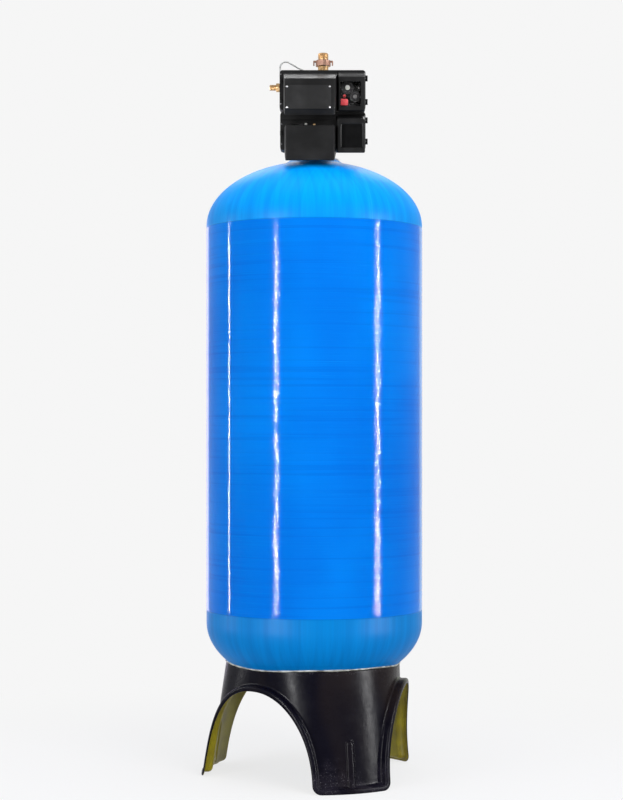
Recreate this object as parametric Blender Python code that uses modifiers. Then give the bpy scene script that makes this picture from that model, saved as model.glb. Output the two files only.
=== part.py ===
"""Commercial water softener: a wound pressure vessel on a moulded tripod base, with a two-storey control valve.

Metres, +Z up. The origin is on the floor under the vessel's axis, and the front of the machine faces -Y.
"""

import math

import bmesh
import bpy
from mathutils import Vector

# Clearances
TOUCH = 0.0003
SEAT_GAP = 0.0010
RUNNING_GAP = 0.0006

# Sides of the small round pieces
SCREW_SIDES = 6
SHAFT_SIDES = 8
PIPE_SIDES = 12
COLLAR_SIDES = 16

# Pressure vessel
TANK_RADIUS = 0.385
CYLINDER_LOW = 0.541
CYLINDER_HIGH = 1.946
TOP_DOME_RISE = 0.2305
BOTTOM_DOME_DROP = 0.234
SHELL_WALL = 0.008
LINER_WALL = 0.005
NECK_RADIUS = 0.0945
NECK_FLARE = 0.018
NECK_RISE = 0.0085
NECK_BORE = 0.077
VESSEL_SEGMENTS = 32
HEAD_SEGMENTS = VESSEL_SEGMENTS // 2
DOME_STEPS = 6
INNER_DOME_STEPS = 4

# Neck insert and distributor
INSERT_BORE = 0.060
INSERT_DEPTH = 0.070
INSERT_LIP = 0.006
INSERT_LIP_REACH = 0.012
RISER_RADIUS = 0.0315
RISER_WALL = 0.003
HUB_RADIUS = 0.060
HUB_HEIGHT = 0.060
HUB_FLOOR_GAP = 0.040
LATERAL_COUNT = 6
LATERAL_RADIUS = 0.016
LATERAL_SHARE = 0.44
LATERAL_LENGTH = TANK_RADIUS * LATERAL_SHARE
GRAVEL_TOP = 0.470
RESIN_TOP = 1.520
DIFFUSER_RADIUS = 0.048
DIFFUSER_HEIGHT = 0.090

# Tripod base
BASE_WALL = 0.006
LEG_ANGLES = (20.0, 140.0, 260.0)
LEG_SPREAD = 60.0
SKIRT_RADIUS = 0.302
LEG_TOP_RADIUS = 0.313
LEG_FOOT_RADIUS = 0.372
ARCH_HALF_ANGLE = 41.0
ARCH_HEIGHT = 0.338
ARCH_POWER = 2.25
LIP_REACH = 0.030
LIP_FILLET = 0.008
FILLET_START = 0.3
HEM_DEPTH = 0.012
FOOT_CORNER = 0.018
SEAT_WIDTH = 0.034
SEAT_WALL = 0.0075
RIB_WIDTH = 0.032
RIB_HEIGHT = 0.174
RIB_DEPTH = 0.005
RIB_CREST = 0.62
RIB_FLANK = 0.9
ARCH_STEPS = 5
WALL_ROWS = (0.28, 0.55, 0.62)

# Control valve: depths, with the front towards -Y
PARTING_Y = -0.145
BACK_Y = -0.085
LEFT_FRONT_Y = -0.245
RIGHT_FRONT_Y = -0.205
COVER_WALL = 0.003
FLANGE = 0.004
SHELL_CORNER = 0.010
COVER_BEVEL = 0.004

# Enclosure outlines as (low X, high X, low Z, high Z)
UPPER_SHELL = (-0.121, 0.1785, 2.3374, 2.4765)
LOWER_SHELL = (-0.119, 0.1785, 2.198, 2.3315)
LOWER_COVER_LEFT = (-0.119, 0.1785, 2.198, 2.3030)
LOWER_COVER_RIGHT = (0.0765, 0.1785, 2.275, 2.3230)
UPPER_BOXES = (
    ((-0.102, 0.073, 2.305, 2.4316), LEFT_FRONT_Y, (-0.108, 0.084, 2.3374, 2.4664)),
    ((0.083, 0.1755, 2.325, 2.443), RIGHT_FRONT_Y, (0.080, 0.1765, 2.3374, 2.4690)),
)
LOWER_BOXES = (
    ((-0.099, 0.066, 2.149, 2.2734), LEFT_FRONT_Y, (-0.105, 0.080, 2.1980, 2.3000)),
    ((0.0805, 0.174, 2.1806, 2.300), RIGHT_FRONT_Y, (0.0795, 0.1765, 2.1980, 2.3200)),
)
WINDOW = (0.090, 0.159, 2.342, 2.428)
WINDOW_CORNER = 0.003
PANE_THICKNESS = 0.0015
PANEL = (0.090, 0.166, 2.1965, 2.2877)
PANEL_CORNER = 0.006
PANEL_DEPTH = 0.0014
PLATE = (-0.0985, 0.058, 2.3258, 2.4066)
PLATE_CORNER = 0.002
PLATE_THICKNESS = 0.0012
PLATE_INSET = 0.0049
PLATE_SCREW = 0.0018
PLATE_SCREW_HEAD = 0.0040

# Hinges and cover screws
KNUCKLE_RADIUS = 0.0036
KNUCKLE_HEIGHT = 0.020
KNUCKLE_STEPS = 7
KNUCKLE_LEAF = 0.0065
PIN_RADIUS = 0.0014
HINGE_PROUD = 0.0004
HINGE_X = UPPER_SHELL[1] + KNUCKLE_RADIUS + HINGE_PROUD
UPPER_HINGES = (2.438, 2.356)
LOWER_HINGES = (2.292, 2.218)
SCREW_INSET = 0.0055
SCREW_RADIUS = 0.0018
SCREW_HEAD = 0.0038
SCREW_LENGTH = 0.014
SCREW_CROWN = 0.5
SCREW_CROWN_WIDTH = 0.7
SCREW_CROWN_EDGE = 0.4
SCREW_FROM_TOP = 0.0143
SCREW_FROM_FOOT = 0.02145

# Drives and pistons
UPPER_ROD_Z = 2.385
LOWER_ROD_Z = 2.258
GEAR_Y = -0.160
GEAR_PITCH = 0.030
GEAR_TEETH = 24
PINION_TEETH = 8
TOOTH = ((-0.32, -1.2), (-0.13, 0.9), (0.13, 0.9), (0.32, -1.2))
GEAR_WIDTH = 0.008
GEAR_SHAFT = 0.004
MOTOR_Y = GEAR_Y - GEAR_PITCH * (1 + PINION_TEETH / GEAR_TEETH)
MOTOR_RADIUS = 0.023
MOTOR_LENGTH = 0.042
MOTOR_SHAFT = 0.003
MOTOR_BORE = 0.008
MOTOR_CHAMFER = 0.0015
BEARING_X = -0.038
BEARING_WALL = 0.004
BEARING_HALF_HEIGHT = 0.0165
CRANK_RADIUS = 0.015
CRANK_PIN = 0.0035
YOKE_DEPTH = 0.020
YOKE_Y = GEAR_Y - CRANK_RADIUS + YOKE_DEPTH / 2
YOKE_HALF_HEIGHT = 0.025
YOKE_THICKNESS = 0.008
ROD_RADIUS = 0.005
PISTON_RADIUS = 0.016
PISTON_FRONT = -0.020
PISTON_REAR = 0.030
PACK_RADIUS = 0.0237
PACK_GUIDE = 0.012
PACK_REAR = 0.064

# Valve body and its ports
ADAPTER_FLANGE = 0.072
ADAPTER_TOP = 2.200
ADAPTER_THREAD = 0.050
BODY_HEIGHT = 0.270
BODY_TOP = ADAPTER_TOP + BODY_HEIGHT
BODY_RADIUS = 0.052
BODY_FILLET = 0.004
BODY_FLANGE = 0.066
BODY_FLANGE_HEIGHT = 0.012
BODY_POCKET = 0.020
BODY_SIDES = 20
BARREL_RADIUS = 0.034
BARREL_FRONT = BACK_Y + TOUCH
BARREL_REAR = 0.085
PORT_X = 0.045
PORT_Y = 0.080
PORT_Z = 2.322
PORT_ARM = 0.030
PORT_SPIGOT = 0.022
PORT_SPIGOT_LENGTH = 0.014
PORT_BORE = 0.018
PORT_THREAD = 0.024
PORT_COLLAR = 0.014
PORT_TAIL = 0.034
DRAIN_Y = -0.045
DRAIN_DROP = 0.036
DRAIN_Z = BODY_TOP - DRAIN_DROP
DRAIN_ARM = 0.0125
DRAIN_ARM_REACH = 0.1227
DRAIN_SPIGOT = 0.0095
DRAIN_SPIGOT_LENGTH = 0.010
DRAIN_HEX = 0.0162
DRAIN_HEX_WIDTH = 0.012
DRAIN_THREAD = 0.0105
DRAIN_TAIL = 0.023
DRAIN_BORE = 0.007
DRAIN_CHAMFER = 0.001
UNION_X = 0.0316
UNION_Y = -0.020
UNION_LIFT = 0.018
UNION_BASE = BODY_TOP + UNION_LIFT
UNION_BOSS = 0.0225
UNION_BORE = 0.0160
UNION_SPIGOT = 0.010
UNION_WATER = 0.0130
UNION_NECK = 0.0185
UNION_COLLAR = 0.0215
UNION_STUB_HEIGHT = 0.0355
UNION_JOINT = UNION_BASE + UNION_STUB_HEIGHT
UNION_ENGAGE = 0.0090
UNION_STEP = 0.003
UNION_WAIST = 0.0160
UNION_THREAD = 0.0185
UNION_THREAD_LENGTH = 0.020
UNION_TAIL_HEIGHT = 0.0365
UNION_TOP = UNION_JOINT + UNION_TAIL_HEIGHT
NUT_RISE = 0.012
NUT_TOP = UNION_JOINT + NUT_RISE
NUT_RADIUS = 0.0265
NUT_REACH = 0.0355
EAR_WIDTH = 0.014
EAR_DEPTH = 0.007
EAR_DROP = 0.018
EAR_THICKNESS = 0.005
EAR_BEVEL = 0.0015
TUBE_RADIUS = 0.003
TUBE_BOSS = 0.007
TUBE_BOSS_HEIGHT = 0.022
TUBE_BOSS_TOP = DRAIN_Z + TUBE_BOSS_HEIGHT
TUBE_NUT = 0.0075
TUBE_NUT_HEIGHT = 0.012
TUBE_NUT_EDGE = 0.8
TUBE_STEPS = 2
TUBE_START = (-0.1145, DRAIN_Y, TUBE_BOSS_TOP + TUBE_NUT_HEIGHT)
TUBE_ROUTE = (
    (-0.1145, DRAIN_Y, BODY_TOP + 0.004),
    (-0.1205, -0.050, BODY_TOP + 0.024),
    (-0.1195, -0.054, BODY_TOP + 0.041),
    (-0.1080, -0.056, BODY_TOP + 0.052),
    (-0.0950, -0.054, BODY_TOP + 0.053),
    (-0.0760, -0.049, BODY_TOP + 0.044),
    (-0.0560, -0.041, BODY_TOP + 0.034),
    (-0.0380, -0.034, BODY_TOP + 0.026),
    (-0.0300, -0.030, BODY_TOP + 0.016),
)
TUBE_END = (-0.030, -0.030, BODY_TOP + 0.011)

# Timer, as seen through the window: points are (X, Z)
TIMER = (0.0885, 0.1655, 2.345, 2.4384)
TIMER_Y = -0.168
TIMER_PLATE = 0.003
TIMER_LEG = 0.006
DIAL = (0.1154, 2.4114)
DIAL_RADIUS = 0.0213
DIAL_DISC = 0.0012
DIAL_KNOB = 0.008
DIAL_SHAFT = 0.002
DIAL_HEIGHT = 0.0062
KNOB = (0.1415, 2.3797)
KNOB_RADIUS = 0.0188
KNOB_FLUTES = 14
KNOB_FLUTE_DEPTH = 0.0008
BUTTON = (0.1044, 2.3823)
BUTTON_RADIUS = 0.005
BUTTON_PROUD = 0.0055
BUTTON_LENGTH = 0.014
BUTTON_CHAMFER = 0.0008

# Materials: colour, roughness, metallic
FINISHES = {
    "blue_resin": ((0.0, 0.20, 0.93), 0.3, 0.0),
    "liner_plastic": ((0.75, 0.76, 0.74), 0.5, 0.0),
    "base_plastic": ((0.012, 0.012, 0.014), 0.3, 0.0),
    "white_plastic": ((0.80, 0.80, 0.78), 0.5, 0.0),
    "gravel": ((0.45, 0.42, 0.37), 0.9, 0.0),
    "resin_beads": ((0.50, 0.30, 0.08), 0.6, 0.0),
    "cover_plastic": ((0.014, 0.014, 0.015), 0.4, 0.0),
    "black_rubber": ((0.02, 0.02, 0.02), 0.8, 0.0),
    "brass": ((0.72, 0.48, 0.20), 0.3, 1.0),
    "steel": ((0.62, 0.62, 0.60), 0.3, 1.0),
    "clear_window": ((0.85, 0.88, 0.90), 0.05, 0.0),
    "tube_plastic": ((0.55, 0.57, 0.58), 0.4, 0.0),
    "grey_plastic": ((0.30, 0.30, 0.31), 0.5, 0.0),
    "red_plastic": ((0.60, 0.03, 0.03), 0.4, 0.0),
}


def clear_scene():
    for item in list(bpy.data.objects):
        bpy.data.objects.remove(item, do_unlink=True)


def new_collection(name):
    group = bpy.data.collections.new(name)
    bpy.context.scene.collection.children.link(group)
    return group


def finish_named(name):
    """The Principled material of one finish, made once."""
    found = bpy.data.materials.get(name)
    if found:
        return found
    colour, roughness, metallic = FINISHES[name]
    made = bpy.data.materials.new(name)
    made.use_nodes = True
    shader = made.node_tree.nodes["Principled BSDF"]
    shader.inputs["Base Color"].default_value = (*colour, 1.0)
    shader.inputs["Roughness"].default_value = roughness
    shader.inputs["Metallic"].default_value = metallic
    return made


def add_object(name, mesh, finish, group, place=(0.0, 0.0, 0.0)):
    made = bpy.data.objects.new(name, mesh)
    made.location = place
    if finish:
        mesh.materials.append(finish_named(finish))
    group.objects.link(made)
    return made


def as_cutter(item):
    item.hide_render = True
    item.display_type = "WIRE"
    return item


def boolean(item, other, operation):
    """A Boolean modifier on item, with other hidden as its tool."""
    as_cutter(other)
    step = item.modifiers.new(operation.lower() + "_" + other.name, "BOOLEAN")
    step.operation = operation
    step.object = other
    step.solver = "EXACT"
    return item


def cut(item, *cutters):
    for cutter in cutters:
        boolean(item, cutter, "DIFFERENCE")
    return item


def join(item, *others):
    for other in others:
        boolean(item, other, "UNION")
    return item


def turned(name, profile, finish, group, place=(0.0, 0.0, 0.0), axis="Z", segments=24, closed=False, flats=False):
    """A turned piece. The profile's (radius, height) points run down the outer side, top to bottom."""
    bm = bmesh.new()
    points = [bm.verts.new((radius, 0.0, height)) for radius, height in profile]
    for first, second in zip(points, points[1:]):
        bm.edges.new((first, second))
    if closed:
        bm.edges.new((points[-1], points[0]))
    mesh = bpy.data.meshes.new(name)
    bm.to_mesh(mesh)
    bm.free()
    made = add_object(name, mesh, finish, group, place)
    screw = made.modifiers.new("turn", "SCREW")
    screw.axis = "Z"
    screw.steps = segments
    screw.render_steps = segments
    screw.use_merge_vertices = True
    screw.merge_threshold = 0.00001
    screw.use_smooth_shade = not flats
    if axis == "X":
        made.rotation_euler = (0.0, math.pi / 2, 0.0)
    elif axis == "-X":
        made.rotation_euler = (0.0, -math.pi / 2, 0.0)
    elif axis == "Y":
        made.rotation_euler = (-math.pi / 2, 0.0, 0.0)
    elif axis == "-Y":
        made.rotation_euler = (math.pi / 2, 0.0, 0.0)
    return made


def rod(name, radius, length, finish, group, place, axis="Z", segments=COLLAR_SIDES, chamfer=0.0):
    """A solid round bar that starts at place and runs along axis, with its far end chamfered."""
    profile = [(0.0, length), (radius - chamfer, length)]
    if chamfer:
        profile.append((radius, length - chamfer))
    profile += [(radius, 0.0), (0.0, 0.0)]
    return turned(name, profile, finish, group, place, axis, segments)


def ring(name, inner, outer, low, high, finish, group, segments=18):
    """A plain ring from low to high along axis."""
    profile = [(inner, high), (outer, high), (outer, low), (inner, low)]
    return turned(name, profile, finish, group, segments=segments, closed=True)


def box(name, low, high, finish, group):
    """A box between two corners, with its origin at its middle."""
    low = Vector(low)
    high = Vector(high)
    bm = bmesh.new()
    bmesh.ops.create_cube(bm, size=1.0)
    bmesh.ops.scale(bm, vec=high - low, verts=bm.verts)
    mesh = bpy.data.meshes.new(name)
    bm.to_mesh(mesh)
    bm.free()
    return add_object(name, mesh, finish, group, (low + high) / 2)


def edge_runs_along(edge, axis):
    step = (edge.verts[1].co - edge.verts[0].co).normalized()
    return abs(step["XYZ".index(axis)]) > 0.9


def rounded_box(name, low, high, finish, group, radius, axis="Y", segments=2):
    """A box whose four edges along axis are rounded."""
    made = box(name, low, high, finish, group)
    bm = bmesh.new()
    bm.from_mesh(made.data)
    edges = [edge for edge in bm.edges if edge_runs_along(edge, axis)]
    bmesh.ops.bevel(bm, geom=edges, offset=radius, segments=segments, affect="EDGES", profile=0.5)
    bm.to_mesh(made.data)
    bm.free()
    return made


def prism(name, outline, low, high, finish, group, axis="X"):
    """A solid with a flat outline, drawn anticlockwise as seen from the +axis side, from low to high along axis."""
    bm = bmesh.new()
    order = {"X": lambda a, b, h: (h, a, b), "Y": lambda a, b, h: (b, h, a), "Z": lambda a, b, h: (a, b, h)}[axis]
    bottom = [bm.verts.new(order(a, b, low)) for a, b in outline]
    top = [bm.verts.new(order(a, b, high)) for a, b in outline]
    bm.faces.new(list(reversed(bottom)))
    bm.faces.new(top)
    count = len(outline)
    for index in range(count):
        after = (index + 1) % count
        bm.faces.new((bottom[index], bottom[after], top[after], top[index]))
    bmesh.ops.recalc_face_normals(bm, faces=bm.faces)
    mesh = bpy.data.meshes.new(name)
    bm.to_mesh(mesh)
    bm.free()
    return add_object(name, mesh, finish, group)


def lofted_ring(name, sections, finish, group):
    """One closed body through closed sections that go round a ring; each section has the same number of points."""
    bm = bmesh.new()
    rows = [[bm.verts.new(point) for point in section] for section in sections]
    count = len(rows[0])
    for index, row in enumerate(rows):
        after = rows[(index + 1) % len(rows)]
        for step in range(count):
            following = (step + 1) % count
            bm.faces.new((row[step], row[following], after[following], after[step]))
    bmesh.ops.recalc_face_normals(bm, faces=bm.faces)
    mesh = bpy.data.meshes.new(name)
    bm.to_mesh(mesh)
    bm.free()
    mesh.shade_smooth()
    mesh.set_sharp_from_angle(angle=math.radians(40))
    return add_object(name, mesh, finish, group)


def bevelled(item, width, segments=1, angle=50.0):
    step = item.modifiers.new("edges", "BEVEL")
    step.width = width
    step.segments = segments
    step.limit_method = "ANGLE"
    step.angle_limit = math.radians(angle)
    return item


# Pressure vessel


def dome_height(radius, inset=0.0, top=True):
    """Height of the dome's surface at a radius, for the surface that lies inset inside the outer one."""
    reach = TANK_RADIUS - inset
    rise = (TOP_DOME_RISE if top else BOTTOM_DOME_DROP) - inset
    fraction = math.sqrt(max(0.0, 1.0 - (radius / reach) ** 2))
    return CYLINDER_HIGH + rise * fraction if top else CYLINDER_LOW - rise * fraction


def dome_arc(inset, top, stop_radius):
    """Points on a dome from its widest circle to stop_radius, evenly spread by angle."""
    reach = TANK_RADIUS - inset
    steps = INNER_DOME_STEPS if inset else DOME_STEPS
    last = math.acos(stop_radius / reach)
    points = []
    for step in range(steps + 1):
        angle = last * step / steps
        radius = reach * math.cos(angle)
        points.append((radius, dome_height(radius, inset, top)))
    if stop_radius == 0.0:
        points[-1] = (0.0, points[-1][1])
    return points


def vessel_wall(name, outer, wall, bore, finish, group, head=()):
    """A vessel's wall between two nested surfaces, open at the neck; head is the outer neck's own points."""
    outside = list(head) + list(reversed(dome_arc(outer, True, head[-1][0] if head else bore)))[1 if head else 0:]
    outside += dome_arc(outer, False, 0.0)
    inner = outer + wall
    inside = list(reversed(dome_arc(inner, False, 0.0))) + dome_arc(inner, True, bore)
    return turned(name, inside + outside, finish, group, segments=VESSEL_SEGMENTS)


NECK_TOP = dome_height(NECK_RADIUS) + NECK_RISE
LINER_INSET = SHELL_WALL + TOUCH
CONTENT_INSET = LINER_INSET + LINER_WALL + TOUCH


def make_tank_shell(group):
    head = [
        (NECK_BORE, NECK_TOP),
        (NECK_RADIUS - NECK_RISE / 3, NECK_TOP),
        (NECK_RADIUS, NECK_TOP - NECK_RISE / 3),
        (NECK_RADIUS + NECK_FLARE, dome_height(NECK_RADIUS + NECK_FLARE)),
    ]
    return vessel_wall("tank_shell", 0.0, SHELL_WALL, NECK_BORE, "blue_resin", group, head)


def make_tank_liner(group):
    return vessel_wall("tank_liner", LINER_INSET, LINER_WALL, NECK_BORE, "liner_plastic", group)


def make_neck_insert(group):
    outer = NECK_BORE - TOUCH
    lip = NECK_BORE + INSERT_LIP_REACH
    base = NECK_TOP + TOUCH
    profile = [
        (INSERT_BORE, base + INSERT_LIP),
        (lip, base + INSERT_LIP),
        (lip, base),
        (outer, base),
        (outer, base - INSERT_DEPTH),
        (INSERT_BORE, base - INSERT_DEPTH),
    ]
    return turned("neck_insert", profile, "cover_plastic", group, segments=HEAD_SEGMENTS, closed=True)


HUB_LOW = dome_height(0.0, CONTENT_INSET, False) + HUB_FLOOR_GAP
RISER_LOW = HUB_LOW + HUB_HEIGHT + TOUCH
RISER_HIGH = ADAPTER_TOP - TOUCH * 10
LATERAL_Z = HUB_LOW + HUB_HEIGHT / 2


def make_distributor(group):
    """The riser tube, the hub under it and the slotted laterals that spread from the hub."""
    ring("riser_tube", RISER_RADIUS - RISER_WALL, RISER_RADIUS, RISER_LOW, RISER_HIGH, "white_plastic", group)
    turned(
        "distributor_hub",
        [
            (0.0, HUB_LOW + RISER_WALL * 2),
            (RISER_RADIUS - RISER_WALL, HUB_LOW + RISER_WALL * 2),
            (RISER_RADIUS - RISER_WALL, HUB_LOW + HUB_HEIGHT),
            (HUB_RADIUS, HUB_LOW + HUB_HEIGHT),
            (HUB_RADIUS, HUB_LOW),
            (0.0, HUB_LOW),
        ],
        "white_plastic",
        group,
        segments=HEAD_SEGMENTS,
    )
    for index in range(LATERAL_COUNT):
        angle = 2 * math.pi * index / LATERAL_COUNT
        start = HUB_RADIUS + TOUCH
        place = (start * math.cos(angle), start * math.sin(angle), LATERAL_Z)
        lateral = rod(
            f"lateral_{index + 1}", LATERAL_RADIUS, LATERAL_LENGTH, "white_plastic", group, place, segments=SHAFT_SIDES,
            chamfer=LATERAL_RADIUS / 3,
        )
        lateral.rotation_euler = (0.0, math.pi / 2, angle)


def floor_radius(height):
    """Radius of the space inside the liner at a height, on the straight facets of its wall."""
    arc = dome_arc(CONTENT_INSET, False, 0.0)
    for (upper_radius, upper), (lower_radius, lower) in zip(arc, arc[1:]):
        if lower <= height <= upper:
            return upper_radius + (lower_radius - upper_radius) * (upper - height) / (upper - lower)
    return arc[0][0]


def bed_profile(low, high, bore):
    """The section of a bed that fills the liner between two heights, round a bore."""
    points = [(bore, high), (floor_radius(high), high)]
    points += [(radius, height) for radius, height in dome_arc(CONTENT_INSET, False, 0.0) if low < height < high]
    if floor_radius(low) > bore:
        points.append((floor_radius(low), low))
    points.append((bore, low))
    return points


def riser_bore():
    """Radius of a bore round the riser tube at the corners of its facets."""
    return (RISER_RADIUS + TOUCH) / math.cos(math.pi / HEAD_SEGMENTS)


def make_beds(group, tools):
    """Gravel packed round the laterals, and the softening resin above it."""
    bore = RISER_RADIUS + TOUCH
    corner = riser_bore()
    floor = dome_height(0.0, CONTENT_INSET, False)
    gravel = turned("gravel_bed", bed_profile(floor, GRAVEL_TOP, 0.0), "gravel", group, segments=VESSEL_SEGMENTS)
    hollow = turned(
        "hub_hollow",
        [
            (0.0, GRAVEL_TOP + bore),
            (corner, GRAVEL_TOP + bore),
            (corner, HUB_LOW + HUB_HEIGHT + TOUCH * 2),
            (HUB_RADIUS + TOUCH * 2, HUB_LOW + HUB_HEIGHT + TOUCH * 2),
            (HUB_RADIUS + TOUCH * 2, HUB_LOW - TOUCH),
            (0.0, HUB_LOW - TOUCH),
        ],
        None,
        tools,
        segments=HEAD_SEGMENTS,
    )
    cut(gravel, hollow)
    for index in range(LATERAL_COUNT):
        angle = 2 * math.pi * index / LATERAL_COUNT
        start = HUB_RADIUS - TOUCH * 4
        place = (start * math.cos(angle), start * math.sin(angle), LATERAL_Z)
        length = LATERAL_LENGTH + TOUCH * 6
        hole = rod(f"lateral_hole_{index + 1}", LATERAL_RADIUS + TOUCH, length, None, tools, place, segments=SHAFT_SIDES)
        hole.rotation_euler = (0.0, math.pi / 2, angle)
        cut(gravel, hole)
    profile = bed_profile(GRAVEL_TOP + TOUCH, RESIN_TOP, bore)
    turned("resin_bed", profile, "resin_beads", group, segments=VESSEL_SEGMENTS, closed=True)


# Tripod base


def leg_share(off):
    """1 on a leg's face and 0 at the middle of an arch, with a smooth change between."""
    face = LEG_SPREAD - ARCH_HALF_ANGLE
    along = min(1.0, max(0.0, (off - face) / ARCH_HALF_ANGLE))
    return 1.0 - along * along * (3.0 - 2.0 * along)


def rim_radius(off):
    return SKIRT_RADIUS + leg_share(off) * (LEG_TOP_RADIUS - SKIRT_RADIUS)


def rim_height(radius):
    return dome_height(radius, 0.0, False) - SEAT_GAP


def wall_radius(off, height):
    top = dome_height(LEG_TOP_RADIUS, 0.0, False)
    leg = LEG_TOP_RADIUS + (LEG_FOOT_RADIUS - LEG_TOP_RADIUS) * (1.0 - height / top)
    return SKIRT_RADIUS + leg_share(off) * (leg - SKIRT_RADIUS)


def rib_bump(off, height):
    """How far the stiffening rib down a leg's middle stands out."""
    half = math.degrees(RIB_WIDTH / 2 / LEG_FOOT_RADIUS)
    return RIB_DEPTH if off < half * RIB_FLANK and height < RIB_HEIGHT else 0.0


def edge_samples():
    """Points along half a leg's lower edge, from its centre line to the crown of the arch beside it.

    Each holds the degrees from the leg's centre line at the edge, the height of the edge, the degrees where the
    same section starts at the rim, and the direction away from the wall: sideways and up.
    """
    rib = math.degrees(RIB_WIDTH / 2 / LEG_FOOT_RADIUS)
    low = HEM_DEPTH + FOOT_CORNER
    bend = 2.0 / ARCH_POWER
    first = math.asin((low / ARCH_HEIGHT) ** (1.0 / bend))
    face = LEG_SPREAD - ARCH_HALF_ANGLE * math.cos(first) ** bend
    corner = face - math.degrees(FOOT_CORNER / LEG_FOOT_RADIUS)
    samples = [(off, HEM_DEPTH, off, 0.0, -1.0) for off in (0.0, rib * RIB_CREST, rib, (rib + corner) / 2)]
    for step in range(3):
        turn = math.radians(45.0 * step)
        off = corner + (face - corner) * math.sin(turn)
        samples.append((off, low - FOOT_CORNER * math.cos(turn), off, math.sin(turn), -math.cos(turn)))
    for step in range(1, ARCH_STEPS + 1):
        angle = first + (math.pi / 2 - first) * step / ARCH_STEPS
        cosine = max(math.cos(angle), 0.0)
        off = LEG_SPREAD - ARCH_HALF_ANGLE * cosine ** bend
        height = ARCH_HEIGHT * math.sin(angle) ** bend
        across = math.radians(ARCH_HALF_ANGLE) * wall_radius(off, height) * math.sin(angle)
        across *= max(cosine, 0.001) ** (bend - 1.0)
        rise = ARCH_HEIGHT * math.cos(angle) * math.sin(angle) ** (bend - 1.0)
        size = math.hypot(across, rise)
        top_off = face + (LEG_SPREAD - face) * step / ARCH_STEPS
        samples.append((off, height, top_off, rise / size, -across / size))
    samples[-1] = (LEG_SPREAD, ARCH_HEIGHT, LEG_SPREAD, 0.0, -1.0)
    return samples


def polar(leg, side, off, radius, height):
    angle = math.radians(leg + side * off)
    return (radius * math.sin(angle), -radius * math.cos(angle), height)


def base_section(leg, side, sample):
    """One closed section of the base, down its outer face, round the rolled lip and up its inner face."""
    edge_off, edge_height, top_off, sideways, upward = sample
    edge_radius = wall_radius(edge_off, edge_height)
    bend = LIP_FILLET
    wall = BASE_WALL
    rim = rim_radius(top_off)
    rim_top = rim_height(rim)

    def lip(out, away):
        off = edge_off + math.degrees(away * sideways / edge_radius)
        height = edge_height + away * upward
        return polar(leg, side, off, wall_radius(off, height) + out, height)

    def face(share, inset):
        off_end = edge_off - math.degrees((wall + bend) * sideways / edge_radius)
        height_end = edge_height - (wall + bend) * upward
        off = top_off + (off_end - top_off) * share
        height = rim_top + (height_end - rim_top) * share
        return polar(leg, side, off, wall_radius(off, height) + rib_bump(off, height) - inset, height)

    def seat(inward, drop):
        return polar(leg, side, top_off, rim - inward, rim_height(rim - inward) - drop)

    bump = rib_bump(edge_off, edge_height)
    reach = LIP_REACH
    near = bend * FILLET_START
    drop = SEAT_WALL
    points = [seat(0.0, 0.0)]
    points += [face(share, 0.0) for share in WALL_ROWS]
    points += [lip(bump, -wall - bend), lip(max(bump, near), -wall - near), lip(bend, -wall)]
    points += [lip(reach - bend, -wall), lip(reach, bend - wall)]
    points += [lip(reach, HEM_DEPTH), lip(reach - wall, HEM_DEPTH), lip(reach - wall, 0.0)]
    points += [lip(bend, 0.0), lip(bump - wall, -wall - bend)]
    points += [face(share, wall) for share in reversed(WALL_ROWS[1:])]
    points += [seat(wall, drop), seat(SEAT_WIDTH, drop), seat(SEAT_WIDTH, 0.0), seat(SEAT_WIDTH / 2, 0.0)]
    return points


def base_stations():
    """Every section's place round the base: its leg, its side of the leg and its edge sample."""
    samples = edge_samples()
    stations = []
    for leg in LEG_ANGLES:
        stations += [(leg, -1, sample) for sample in reversed(samples[1:-1])]
        stations += [(leg, 1, sample) for sample in samples]
    return stations


def make_tripod_base(group):
    return lofted_ring("tripod_base", [base_section(*station) for station in base_stations()], "base_plastic", group)


# Control valve


def tapered(name, front, front_y, root, root_y, finish, group, bevel=0.0, segments=1):
    """A box whose front and root rectangles differ. Each rectangle is (low X, high X, low Z, high Z)."""
    bm = bmesh.new()
    bmesh.ops.create_cube(bm, size=1.0)
    for vert in bm.verts:
        rectangle = front if vert.co.y < 0 else root
        side = rectangle[1] if vert.co.x > 0 else rectangle[0]
        level = rectangle[3] if vert.co.z > 0 else rectangle[2]
        vert.co = (side, front_y if vert.co.y < 0 else root_y, level)
    if bevel:
        edges = [edge for edge in bm.edges if min(vert.co.y for vert in edge.verts) < root_y - TOUCH]
        bmesh.ops.bevel(bm, geom=edges, offset=bevel, segments=segments, affect="EDGES", profile=0.5)
    mesh = bpy.data.meshes.new(name)
    bm.to_mesh(mesh)
    bm.free()
    return add_object(name, mesh, finish, group)


def inset(rectangle, amount):
    return (rectangle[0] + amount, rectangle[1] - amount, rectangle[2] + amount, rectangle[3] - amount)


def shell_box(name, rectangle, front_y, rear_y, finish, group, radius):
    """A box with rounded corners over a rectangle, between two depths."""
    low = (rectangle[0], front_y, rectangle[2])
    high = (rectangle[1], rear_y, rectangle[3])
    return rounded_box(name, low, high, finish, group, radius)


def hinge_levels(storey):
    """The height where each knuckle pair of a storey starts."""
    return UPPER_HINGES if storey == "upper" else LOWER_HINGES


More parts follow.
